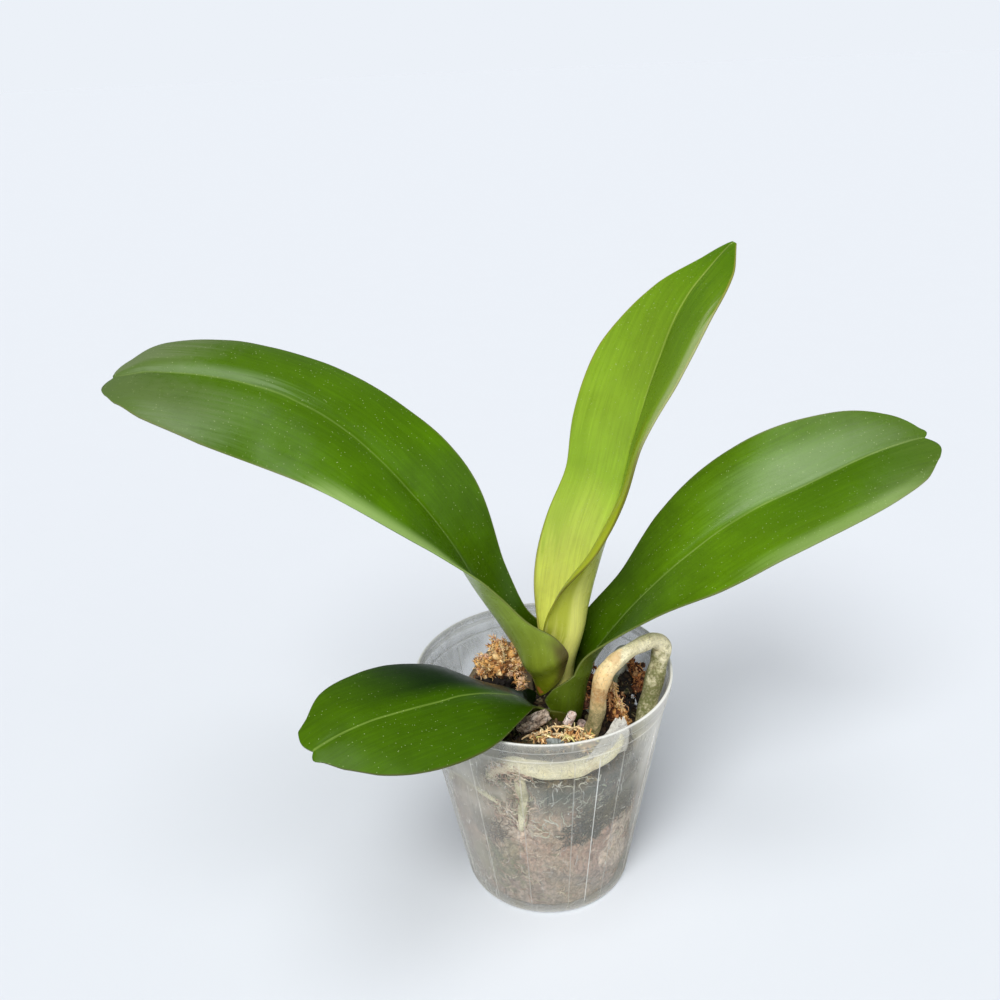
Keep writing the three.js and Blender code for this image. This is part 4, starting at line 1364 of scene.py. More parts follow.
LEAVES = (
    Leaf("leaf_long_left", LeafAge.GROWN, LONG_SKIN, 175, (3, 0.4), (
        (8.5, 104, 4, 0, 27, 4, 0, 27), (9.5, 109, 12, 0, 75, 12, 0, 75),
        (11.5, 115, 23, 0, 120, 20, 0, 115), (15, 122, 33, -4, 126, 22, 5, 115),
        (19.5, 131, 28, 20, 74, 16, 27, 70), (25, 141, 20.5, 24, 50, 14, 34, 46),
        (34.5, 158.5, 18.5, 16, 40, 18.5, 26, 38), (54.5, 194.5, 25, 2, -16, 28, 46, 8),
        (80, 226.5, 31, -8, -45, 31, 48, -35), (108, 247.5, 34, -22, -40, 30, 37, -35),
        (136, 256.5, 33, -20, -30, 27, 38, -35), (163, 259.7, 26.5, -15, -20, 19, 42, -30),
        (176.5, 258.8, 18.5, -12, -14, 9, 40, -20),
        (182.5, 257.7, 12.5, -12, -6, 2.5, 36, 0)), 6),
    Leaf("leaf_right", LeafAge.GROWN, RIGHT_SKIN, 8, (2.2, 3.6), (
        (10.5, 91, 5, 0, 25, 5, 0, 25), (11.2, 96, 19, 0, 90, 19, 0, 90),
        (12.2, 102, 26, 0, 130, 27, 0, 132), (13.2, 108, 24, 5, 105, 25, 5, 108),
        (15.5, 115, 20, 10, 70, 19, 10, 65), (20, 124, 17, 30, 30, 17, 28, 20),
        (38, 146, 19, 26, -10, 20, 12, -10), (62, 168, 27, 34, -10, 29, -4, -15),
        (88, 185, 31, 44, -15, 32, -9, -15), (115, 196, 31, 51, -15, 32, -6, -20),
        (140, 206, 26, 43, -10, 28, -11, -20), (157, 210.8, 17, 40, -10, 22.5, -16, -10),
        (167.5, 212.3, 5.5, 40, 0, 13.5, -18, 0)), 5),
    Leaf("leaf_low_left", LeafAge.OLD, OLD_SKIN, 217, (2.2, 1.8), (
        (12, 89, 5, 0, 22, 5, 0, 22), (12.8, 94, 18, 0, 78, 18, 0, 78),
        (14.5, 99.5, 15, 0, 60, 15, 0, 60), (19, 106.5, 8, 0, 20, 8, 5, 20),
        (29, 114.5, 15, 0, -10, 14, 8, -20), (50, 124, 27, -6, -20, 25, 18, -25),
        (71, 128.5, 30.5, -9, -20, 30, 22, -25), (91, 132.5, 28.5, -13, -20, 27.5, 25, -25),
        (107, 133.8, 22, -16, -20, 23.5, 23, -20), (118, 133, 13.5, -18, -10, 15, 18, -10),
        (123.5, 132, 6, -20, 0, 11.5, 14, 0)), 3),
    Leaf("leaf_upright", LeafAge.YOUNG, YOUNG_SKIN, 10, (0, 0), (
        (6.3, 108, 18, 0, 165, 18, 0, 165), (7.6, 121, 21, 0, 160, 21, 0, 160),
        (12, 138, 27, 0, 135, 26, 0, 150, -60), (16.5, 158, 29, 20, 85, 24, 28, 75, -100),
        (22.5, 180, 28, 42, 35, 24, 22, 30, -100), (31, 203, 27, 53, 5, 24, 20, 10, -55),
        (37, 229, 29, 59, -10, 25, 20, -10, 0), (45, 256, 28, 50, -15, 27, 8, -10, 0),
        (55, 280, 18, 34, -10, 24, -1, -10, 0), (68, 296, 8, 12, 0, 15, -8, 0, 0),
        (76, 303, 1.6, 10, 0, 1.6, 0, 0, 0)), 4),
)


@dataclass
class Stem:
    """The short stem between the sheaths, with the rings of old leaf scars."""

    at: Pair = (6.0, -8.0)
    radius: float = 5.2
    foot: float = 58.0
    head: float = 119.0
    sides: int = 48
    rings: int = 120

    def build(self, finish: Material) -> None:
        """Builds and dresses the stem.

        Args:
            finish: Its material.
        """
        height = np.linspace(self.foot, self.head, self.rings)
        scar = np.abs(((height - self.foot) % 6.5) - 3.2)
        radius = self.radius - 0.5 + 0.45 * np.exp(-(scar / 0.7) ** 2)
        radius *= np.interp(
            height, [self.foot, self.foot + 2, self.head - 3, self.head], [0.7, 1, 0.85, 0.3])
        turn = circle(self.sides)
        points = around(radius[:, None], turn, height[:, None]) + (*self.at, 0)
        flat = grid(turn * self.radius, height[:, None], 0.0)
        shape = Shape(points.reshape(-1, 3), capped_faces(self.rings, self.sides),
                      {"root_mm": flat.reshape(-1, 3)})
        make_piece("stem_core", shape, finish, ["stem"])


RUSSET, OCHRE = (178, 126, 72), (236, 196, 132)
LICHEN, OLIVE = (132, 130, 84), (104, 108, 58)
ROOT_FINISHES = (
    RootFinish(RootSkin.SILVER, skin=(240, 232, 196), shade=(214, 204, 162),
        through=(160, 148, 100), peeled=(236, 208, 152), stains=(
            ((25, -30, 121), 9, OCHRE, 0.8),
            ((31, -26, 133), 4, RUSSET, 0.5),
            ((23.5, -31, 116.5), 6, RUSSET, 0.75),
            ((22, -29.5, 110), 5, OCHRE, 0.5),
            ((22.5, -28, 102), 10, LICHEN, 0.8),
            ((20, -25, 92), 11, OLIVE, 0.7),
            # The lichen and olive stains on the right leg darken it towards the bottom: partly the
            # root's own green, partly painted shade.
            ((53, -8, 113), 12, LICHEN, 1),
            ((48.5, -13, 101), 15, LICHEN, 1),
            ((50, -12, 107), 13, OLIVE, 0.55),
            ((45, -16, 90), 13, OLIVE, 0.9)), speckle_share=0.55),
    RootFinish(RootSkin.GREEN, skin=(158, 158, 132), shade=(128, 132, 104),
        through=(98, 110, 70)),
    RootFinish(RootSkin.GREY, skin=(206, 210, 200), shade=(178, 184, 168),
        through=(120, 134, 84), stains=(
            ((34, 11, 93), 9, (112, 128, 66), 0.8),)),
    RootFinish(RootSkin.DEAD, skin=(140, 122, 94), shade=(106, 92, 66),
        through=(76, 66, 46)),
    RootFinish(RootSkin.PAPERY, skin=(232, 229, 220), shade=(212, 208, 196),
        through=(190, 186, 172), speckle_share=0.12),
    RootFinish(RootSkin.PALE, skin=(254, 248, 214), shade=(244, 234, 188),
        through=(222, 214, 158), stains=(
            ((-14, -48, 80), 6, LICHEN, 0.7),
            ((-12.5, -47.5, 70), 7, OLIVE, 0.6),
            ((-21, -46, 92), 9, (196, 170, 148), 0.75),
            ((19, -50, 92), 5, (190, 162, 112), 0.5)),
        speckle_share=0.3),
)


@dataclass
class Root:
    """One root: knots of x, y, z and radius along it."""

    node: str
    skin: RootSkin
    slot: str
    knots: tuple[Four, ...]
    torn_at: float = 0.0
    sides: int = 28
    spacing: float = 0.8
    roughness: float = 0.16

    def build(self, finishes: dict[RootSkin, Material]) -> None:
        """Builds and dresses the root.

        Args:
            finishes: The material of each skin.
        """
        knots = np.array(self.knots, float)
        length = np.linalg.norm(np.diff(knots[:, :3], axis=0), axis=1).sum()
        steps = int(length / self.spacing) + 2
        line = curve_through(knots, steps)
        path, radius = line[:, :3], line[:, 3]
        run = np.linspace(0, length, steps)
        radius = radius * (1 + 0.05 * np.sin(run * 0.42 + knots[0][0]))
        for end in (run, length - run):
            inside = np.clip(end / radius, 0, 1)
            radius = radius * np.maximum(np.sqrt(1 - (1 - inside) ** 2), 0.12)
        _, side, lift = turning_frames(path)
        turn = circle(self.sides)
        way = (np.cos(turn)[None, :, None] * side[:, None]
               + np.sin(turn)[None, :, None] * lift[:, None])
        skin = path[:, None] + way * radius[:, None, None]
        bumps = self.roughness * rough_noise(skin, 4.5, 3, 17)
        ridges = 0.05 * np.sin(turn * 9 + 2 * lattice_noise(skin, 12, 3))
        push = (bumps + ridges) * np.minimum(radius / 2, 1)[:, None]
        torn = self.torn_at * length + 2.2 * np.sin(turn * 2 + 1) + 0.9 * np.sin(turn * 5)
        peel = np.clip((torn[None] - run[:, None]) / self.spacing + 0.5, 0, 1)
        peel = peel * (self.torn_at > 0)
        skin = skin + way * (push + 0.32 * peel)[..., None]
        aside = np.abs(turn - math.pi) * knots[:, 3].mean()
        flat = grid(aside, run[:, None], 0.0)
        shape = Shape(skin.reshape(-1, 3), capped_faces(steps, self.sides),
                      {"root_mm": flat.reshape(-1, 3), "peel": peel.reshape(-1)})
        make_piece(self.node + "_skin", shape, finishes[self.skin], [self.node])


ROOTS = (
    Root("root_arch", RootSkin.SILVER, "aerial_root", (
        (12.5, -17, 77, 3), (18.5, -22, 87, 3.1), (22.5, -26.5, 104, 3.2),
        (23.4, -28.3, 117, 3.5), (26, -27.6, 125.8, 3.7), (31.1, -24.5, 129.8, 3.5),
        (36.3, -20.5, 131.2, 3.2), (42.5, -15, 131, 3.4), (50, -8.7, 129.6, 3.7),
        (54.3, -6, 125, 4.2), (53.2, -7, 118, 4.3), (50.7, -10, 109.4, 4.4),
        (47, -14, 97, 4.3), (43, -17, 80, 4.2)), torn_at=0.44),
    Root("root_back", RootSkin.GREY, "aerial_root", (
        (18, 3, 80, 2.8), (30, 11, 86, 3.1), (36, 12.5, 96, 3.2), (40, 15, 103.5, 3.1),
        (43, 22, 104, 3), (40.5, 30, 99, 3.1), (34, 33.5, 84, 3), (30, 31.5, 70, 2.8))),
    Root("root_front_wall", RootSkin.PALE, "pot_root", (
        (-26, -37, 80, 2.8), (-24, -44.5, 90, 3), (-17, -47.7, 94.6, 3.4),
        (-8, -50.2, 94, 3.7), (1, -50.6, 92.4, 3.8), (10.5, -49.5, 92.2, 3.7),
        (20, -46.6, 94, 3.6), (27.5, -43.2, 97.5, 3.3), (30.3, -43.2, 102.5, 2.6),
        (30.6, -43.8, 107, 1.4))),
    Root("root_wall_vertical", RootSkin.PALE, "pot_root", (
        (-14.3, -42, 88.5, 2.2), (-13.2, -48, 83, 2.4), (-12, -47.2, 76, 2.4),
        (-12.4, -45.6, 68, 2.3), (-13, -43.2, 58, 2.1), (-13.5, -38, 50, 1.6))),
    Root("root_wall_left", RootSkin.PALE, "pot_root", (
        (-45, -14, 62, 1.5), (-44, -20, 70, 1.4), (-40.5, -28.5, 75.5, 1.3),
        (-33, -37.5, 75, 1.2), (-26, -42, 72, 1), (-22, -42.8, 69, 0.7))),
    Root("root_wall_right", RootSkin.DEAD, "pot_root", (
        (40, -22, 84, 2.2), (43.2, -21.8, 79, 2.2), (39.8, -24.3, 68, 2.1),
        (35.2, -28, 58, 2), (26.7, -34.4, 51, 2), (17, -39.2, 47, 1.8))),
    Root("root_wall_back", RootSkin.DEAD, "pot_root", (
        (-6, 6, 80, 2.6), (-8, 22, 92, 3), (-12, 37, 98, 3.3), (-20, 45, 95, 3.3),
        (-29, 41.5, 88, 3.1), (-37, 30.5, 80, 2.9), (-41, 21, 70, 2.4))),
)


@dataclass
class PaperySkin:
    """The torn papery skin of the front wall root, which stands up above the rim."""

    low_left: Triple = (13.0, -49.8, 93.0)
    low_right: Triple = (33.5, -42.5, 95.0)
    middle_left: Triple = (21.6, -48.8, 105.5)
    middle_right: Triple = (35.0, -43.9, 105.5)
    head: Triple = (30.2, -45.4, 114.2)
    head_width: float = 2.0
    thickness: float = 0.35
    columns: int = 22
    rows: int = 40

    def build(self, finish: Material) -> None:
        """Builds and dresses the crumpled sheet.

        Args:
            finish: Its material.
        """
        head = np.array(self.head)
        aside = unit(np.array(self.middle_right) - np.array(self.middle_left))
        left = np.array([self.low_left, self.middle_left, head - aside * self.head_width])
        right = np.array([self.low_right, self.middle_right, head + aside * self.head_width])
        v = np.linspace(0, 1, self.rows) * 2
        lefts, rights = blend_rows(left, v), blend_rows(right, v)
        u = np.linspace(0, 1, self.columns)[None, :, None]
        sheet = lefts[:, None] * (1 - u) + rights[:, None] * u
        jag = lattice_noise(grid(u[0, :, 0] * 9, 0.0, 0.0), 1, 4)
        sheet[..., 2] += (jag * 1.3)[None] * np.clip(v - 1.2, 0, 1)[:, None]
        outward = unit(sheet * (1, 1, 0))
        folds = 0.9 * lattice_noise(sheet, 4.5, 6) + 0.35 * lattice_noise(sheet, 1.8, 7)
        sheet = sheet + outward * (np.minimum(folds, 0.5) - 0.5)[..., None]
        front, back = sheet + outward * self.thickness / 2, sheet - outward * self.thickness / 2
        points = np.concatenate([front, back[:, ::-1]], axis=1).reshape(-1, 3)
        values = {"root_mm": points.copy(), "peel": np.zeros(len(points))}
        shape = Shape(points, slab_faces(self.rows, self.columns), values)
        make_piece("root_front_wall_paper", shape, finish)


# The pot and what fills it


@dataclass
class Pot:
    """The clear tapered pot with its stepped lip, ribs, seam and drain holes."""

    height: float = 113.0
    base_radius: float = 40.0
    rim_radius: float = 60.0
    wall: float = 1.1
    floor: float = 1.6
    lip_height: float = 5.5
    lip_step: float = 1.4
    ribs: int = 15
    rib_offset: float = 10.2
    rib_width: float = 0.6
    rib_proud: float = 0.35
    seam: float = 21.7
    drain_holes: int = 8
    drain_radius: float = 3.5
    drain_ring: float = 26.0
    drain_reach: Pair = (-3.0, 5.0)
    drain_sides: int = 32

    def wall_radius(self, z: float | Array) -> float | Array:
        """The outer radius of the wall below the lip, at a height."""
        top = self.rim_radius - self.lip_step
        return self.base_radius + (top - self.base_radius) * z / (self.height - self.lip_height)

    def inner_radius(self, z: Array) -> Array:
        """The inner radius of the wall below the lip, at a height."""
        return self.wall_radius(z) - self.wall

    def turns(self) -> tuple[Array, Array]:
        """Chooses the angles round the pot, closer together at its ribs.

        Returns:
            The angles in degrees from the front towards +X, and how far each stands out as a
            share of a rib.
        """
        half = math.degrees(self.rib_width / 2 / 50)
        places = [(self.rib_offset + i * 360 / self.ribs, 1.0, half) for i in range(self.ribs)]
        places.append((self.seam, 0.6, half * 0.7))
        angles = set(np.arange(0, 360, 2.0).round(3).tolist())
        for middle, _, reach in places:
            angles = {a for a in angles if abs((a - middle + 180) % 360 - 180) > reach * 1.7}
            angles |= {round((middle + reach * k) % 360, 3) for k in (-1.4, -0.7, 0, 0.7, 1.4)}
        angles_list = np.array(sorted(angles))
        proud = np.zeros(len(angles_list))
        for middle, share, reach in places:
            off = np.abs((angles_list - middle + 180) % 360 - 180) / reach
            proud = np.maximum(proud, share * np.clip((1.4 - off) / 0.7, 0, 1))
        return angles_list, proud

    def profile(self) -> list[Four]:
        """The pot's section from the middle of its underside, out, up, over the rim and down.

        Returns:
            Radius, height, how much of a rib shows, how much moulded edge, and 1 where the
            ring is outside, per ring.
        """
        top, rim, wall = self.height, self.rim_radius, self.wall_radius
        lip, foot = top - self.lip_height, self.base_radius
        bead = lip - 5
        rows = [(0.4, 0, 0, 0.3), (12, 0, 0, 0.1), (13, 0.3, 0, 0.5), (14, 0, 0, 0.1),
                (32, 0, 0, 0.1), (foot - 1.6, 0, 0, 0.5), (foot - 0.7, 0.25, 0, 0.9),
                (foot - 0.1, 0.9, 0, 0.7), (wall(2.2), 2.2, 0, 0.3)]
        for z in (*np.linspace(4, 62, 16), *np.linspace(64, bead - 2, 22)):
            rows.append((wall(z), z, max(0.0, min(1.0, (z - 3.5) / 3, (bead - 1.5 - z) / 3)), 0))
        rows += [
            (wall(bead - 0.5), bead - 0.5, 0, 0), (wall(bead) + 0.4, bead, 0, 0.6),
            (wall(bead + 0.5), bead + 0.5, 0, 0.05), (wall(lip - 0.3), lip - 0.3, 0, 0.05),
            (wall(lip) + 0.2, lip, 0, 0.5), (rim - 0.5, lip + 0.7, 0, 0.6),
            (rim - 0.25, lip + 1.4, 0, 0.1), (rim - 0.05, top - 0.9, 0, 0.2),
            (rim, top - 0.4, 0, 0.7), (rim - 0.3, top - 0.05, 0, 1), (rim - 0.75, top, 0, 0.8),
            (rim - 1.15, top - 0.15, 0, 0.5), (rim - self.wall - 0.35, top - 0.9, 0, 0.3)]
        outside = len(rows)
        rows.append((rim - self.wall - 0.5, lip + 1.3, 0, 0.1))
        for z in np.linspace(lip - 0.6, self.floor + 0.8, 20):
            rows.append((self.inner_radius(z), z, 0, 0))
        rows += [(self.inner_radius(self.floor) - 0.5, self.floor, 0, 0.3),
                 (20, self.floor, 0, 0), (0.4, self.floor, 0, 0)]
        return [(*row, float(k < outside)) for k, row in enumerate(rows)]

    def gaps(self, points: Array, start_of_name: str) -> Array:
        """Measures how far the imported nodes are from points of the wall.

        Args:
            points: Points of the pot's wall in millimetres.
            start_of_name: How the names of the nodes start.

        Returns:
            One distance in millimetres per point.
        """
        corners: list[Vector] = []
        faces: list[list[int]] = []
        for name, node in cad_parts.items():
            if name.startswith(start_of_name):
                start = len(corners)
                corners += [v.co / MM for v in node.data.vertices]
                faces += [[start + v for v in p.vertices] for p in node.data.polygons]
        tree = BVHTree.FromPolygons(corners, faces)
        return np.array([tree.find_nearest(Vector(p))[3] for p in points.tolist()])

    def wear(self, points: Array) -> tuple[Array, Array]:
        """Finds where the wall is fogged, and where a root wipes it clear.

        Args:
            points: Points of the pot's wall in millimetres.

        Returns:
            Fog, then touch, each from 0 to 1 per point.
        """
        root, medium = self.gaps(points, "root_"), self.gaps(points, "growing_medium")
        gap = np.minimum(root, medium)
        mist = np.clip((gap - 2.6) / 5, 0, 1) * np.clip((points[:, 2] - 40) / 25, 0, 1)
        mist *= np.interp(points[:, 2], [0, 100, 108], [1, 1, 0.4])
        turn = np.degrees(np.arctan2(points[:, 0], -points[:, 1]))
        dark = np.clip(1.6 - np.abs(turn - 36) / 17, 0, 1)
        mist *= 1 - 0.8 * dark * np.clip(1.6 - np.abs(points[:, 2] - 61) / 8, 0, 1)
        front = np.minimum(
            self.gaps(points, "root_front_wall"), self.gaps(points, "root_wall_vertical"))
        return mist, np.clip((3.4 - front) / 1.6, 0, 1)

    def build(self, finish: Material) -> None:
        """Builds the pot, cuts its drain holes and dresses it.

        Args:
            finish: Its material.
        """
        angles, proud = self.turns()
        turn = np.radians(angles)
        profile = np.array(self.profile())
        radius = profile[:, 0, None] + self.rib_proud * profile[:, 2, None] * proud
        points = grid(radius * np.sin(turn), -radius * np.cos(turn), profile[:, 1, None])
        points = points.reshape(-1, 3)
        seam = np.abs(angles - self.seam) < 1.0
        line = np.where(seam, 1.6, 0.34) * proud
        moulded = np.clip(profile[:, 3, None] + profile[:, 2, None] * line, 0, 1)
        fog, touch = self.wear(points)
        outer = np.repeat(profile[:, 4], len(angles))
        shape = Shape(points, capped_faces(len(profile), len(angles)), {
            "moulded": moulded.reshape(-1), "outer": outer, "fog": fog, "touch": touch})
        self.cut_drains(make_piece("clear_pot", shape, finish, ["pot"], sharp=50))

    def cut_drains(self, piece: bpy.types.Object) -> None:
        """Cuts the round holes through the pot's floor.

        Args:
            piece: The pot, which gets a new mesh.
        """
        rings = [
            around(self.drain_radius, circle(self.drain_sides), z)
            + around(self.drain_ring, place, 0)
            for place in circle(2 * self.drain_holes)[1::2] for z in self.drain_reach]
        mesh = bpy.data.meshes.new("drain_tool")
        mesh.from_pydata((np.concatenate(rings) * MM).tolist(), [], copied(
            capped_faces(2, self.drain_sides), self.drain_holes, 2 * self.drain_sides))
        tool = placed("drain_tool", mesh)
        cut = piece.modifiers.new("drains", "BOOLEAN")
        cut.operation, cut.object, cut.solver = "DIFFERENCE", tool, "EXACT"
        whole = evaluated(piece)
        piece.modifiers.clear()
        piece.data = whole
        bpy.data.objects.remove(tool)


@dataclass(frozen=True)
class StrandBed:
    """Where strands are pressed to the wall, turned from the front towards +X in degrees."""

    name: str
    moss: MossKind
    count: int
    turn: Pair
    height: Pair
    length: Pair
    thickness: Pair
    sinks: float = 0.85


@dataclass
class Medium:
    """The damp mix of moss and bark: its packed mass, and the loose strands on and in it."""

    pot: Pot
    beds: tuple[StrandBed, ...]
    voxel: float = 1.15
    top_strands: int = 700
    top_crumbs: int = 420
    level: float = 84.0
    above: float = 120.0
    seed: int = 7

    def __post_init__(self) -> None:
        """Starts the source of chance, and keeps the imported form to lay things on."""
        self.random = np.random.default_rng(self.seed)
        self.mass = remeshed("growing_medium", self.voxel)
        self.tree = BVHTree.FromPolygons(self.mass.points.tolist(), self.mass.faces)

    def build(self, packed: Material, mosses: dict[MossKind, Material]) -> None:
        """Builds the mass, then the strands pressed to the wall and what lies on top.

        Args:
            packed: The material of the mass.
            mosses: The material of each moss.
        """
        points = self.mass.points
        relief = (
            0.9 * rough_noise(points, 5, 3, 31) - 0.5 * np.abs(lattice_noise(points, 2.2, 8)))
        room = self.pot.inner_radius(points[:, 2]) - 0.4 - np.hypot(points[:, 0], points[:, 1])
        relief = np.minimum(relief, np.maximum(room, -0.4))
        relief[points[:, 2] < 3.5] = 0
        self.mass.push_out(relief)
        # How far the mass stands back from the wall; its finish paints shade into these gaps.
        self.mass.values["away"] = np.clip((room - 1.5) / 3.5, 0, 1)
        make_piece("medium_mass", self.mass, packed, ["growing_medium"])
        for bed in self.beds:
            self.press_strands(bed, mosses[bed.moss])
        self.lay_strands(mosses[MossKind.DAMP])
        self.lay_crumbs(mosses[MossKind.DAMP])

    def ground(self, x: float, y: float) -> float:
        """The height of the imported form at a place, or 0 beside it."""
        hit = self.tree.ray_cast(Vector((x, y, self.above)), Vector((0, 0, -1)))[3]
        return 0.0 if hit is None else self.above - hit

    def press_strands(self, bed: StrandBed, finish: Material) -> None:
        """Lays crooked strands between the mass and the pot's wall.

        Args:
            bed: Where they lie, how many and how long.
            finish: Their material.
        """
        random, count, steps = self.random, bed.count, 9
        turn = np.radians(random.uniform(*bed.turn, count) - 90)
        height = random.uniform(*bed.height, count)
        way = random.uniform(0, 2 * math.pi, count)
        length = random.uniform(*bed.length, count)
        paths = np.zeros((count, steps, 3))
        for k in range(steps):
            inside = self.pot.inner_radius(height)
            reach = inside - 0.9 - 0.5 * random.random(count)
            depth = np.full(count, 3.0)
            for i, start in enumerate(around(inside, turn, height).tolist()):
                aim = Vector((math.cos(turn[i]), math.sin(turn[i]), 0))
                hit = self.tree.ray_cast(Vector(start), -aim, 12.0)[3]
                depth[i] = 3.0 if hit is None else hit
            radius = np.maximum(reach - np.maximum(depth - 1.2, 0) * bed.sinks, inside - 7)
            paths[:, k] = around(radius, turn, height)
            way += random.normal(0, 0.55, count)
            turn = turn + np.cos(way) * length / steps / inside
            height = np.clip(
                height + np.sin(way) * length / steps, 3.5, max(self.level, bed.height[1]))
        shape = strands(paths, random.uniform(*bed.thickness, count),
                        ([0, 0.2, 0.8, 1], [0.5, 1, 0.9, 0.25]), random.random(count))
        make_piece(bed.name, shape, finish)

    def lay_crumbs(self, finish: Material) -> None:
        """Scatters crumbs of moss and bark over the top of the mass.

        Args:
            finish: Their material.
        """
        random, count = self.random, self.top_crumbs
        turn = random.uniform(0, 2 * math.pi, count)
        centres = around(50 * np.sqrt(random.random(count)), turn, 0)
        size = 0.7 + 2.2 * random.random(count) ** 2
        ground = np.array([self.ground(x, y) for x, y, _ in centres.tolist()])
        centres[:, 2] = np.where(ground < 66, self.level, ground) + size * 0.4
        sizes = size[:, None] * random.uniform(0.6, 1.3, (count, 3)) * (1, 1, 0.7)
        shape = clods(centres, sizes, 7, 0.55, 12, random.random(count), 0.8)
        make_piece("medium_top_crumbs", shape, finish)

    def lay_strands(self, finish: Material) -> None:
        """Scatters short strands and shreds over the top of the mass.

        Args:
            finish: Their material.
        """
        random, count, steps = self.random, self.top_strands, 7
        turn = random.uniform(0, 2 * math.pi, count)
        place = around(49 * np.sqrt(random.random(count)), turn, 0)[:, :2]
        way = random.uniform(0, 2 * math.pi, count)
        length = random.uniform(4, 12, count)
        arch = random.uniform(0.0, 1.6, count)
        paths = np.zeros((count, steps, 3))
        level = np.full(count, self.level)
        for k in range(steps):
            ground = np.array([self.ground(x, y) for x, y in place.tolist()])
            level = np.where(ground > 70, ground, level)
            lift = 0.5 + arch * math.sin(math.pi * k / (steps - 1))
            paths[:, k] = np.column_stack([place, level + lift])
            way += random.normal(0, 0.6, count)
            place = place + around(1, way, 0)[:, :2] * (length / steps)[:, None]
            far = np.linalg.norm(place, axis=1, keepdims=True)
            place = np.where(far > 50, place * 50 / far, place)
        shape = strands(paths, random.uniform(0.25, 0.65, count), ([0, 0.3, 1], [0.5, 1, 0.2]),
                        random.random(count))
        make_piece("medium_top_strands", shape, finish)


MOSS_FINISHES = (
    MossFinish(MossKind.RUST, (
        (92, 56, 32), (188, 128, 68), (232, 180, 106), (248, 222, 168),
        (222, 172, 140)), deepest_shade=0.4),
    MossFinish(MossKind.TAN, (
        (132, 88, 48), (214, 158, 96), (238, 198, 140), (242, 222, 180),
        (222, 214, 120)), deepest_shade=0.5),
    MossFinish(MossKind.BROWN, (
        (40, 24, 16), (92, 52, 30), (158, 94, 50), (214, 146, 86),
        (222, 176, 126))),
    MossFinish(MossKind.WALL, (
        (130, 98, 80), (176, 144, 124), (204, 182, 160), (226, 214, 192),
        (130, 132, 96)), deepest_shade=0.8),
    MossFinish(MossKind.SMUDGE, (
        (18, 20, 12), (38, 38, 26), (60, 50, 34), (36, 46, 28)), deepest_shade=0.8),
    MossFinish(MossKind.SCRIBBLE, (
        (46, 30, 20), (78, 52, 38), (112, 80, 60)), deepest_shade=0.8),
    MossFinish(MossKind.WISP, (
        (206, 206, 190), (236, 234, 222), (214, 220, 190)), deepest_shade=0.9),
    MossFinish(MossKind.DAMP, (
        (26, 20, 14), (58, 42, 26), (104, 80, 52), (66, 74, 38),
        (150, 128, 96)), deepest_shade=0.25),
)
WALL_BEDS = (
    StrandBed("medium_wall_strands", MossKind.WALL, 850, (0, 360), (4, 76), (4, 11),
              (0.12, 0.28)),
    StrandBed("medium_smudge_right", MossKind.SMUDGE, 400, (16, 55), (54, 70), (3, 8),
              (0.1, 0.24), 0.0),
    StrandBed("medium_smudge_middle", MossKind.SMUDGE, 170, (6, 30), (46, 58), (3, 7),
              (0.1, 0.22), 0.0),
    StrandBed("medium_smudge_left", MossKind.SCRIBBLE, 170, (-50, -27), (46, 58), (4, 10),
              (0.1, 0.24), 0.0),
    StrandBed("medium_wisps", MossKind.WISP, 70, (-8, 34), (52, 88), (3, 11), (0.12, 0.3),
              0.4),
    StrandBed("medium_wisps_left", MossKind.WALL, 150, (-34, -9), (58, 97), (4, 12),
              (0.2, 0.5), 0.2),
)


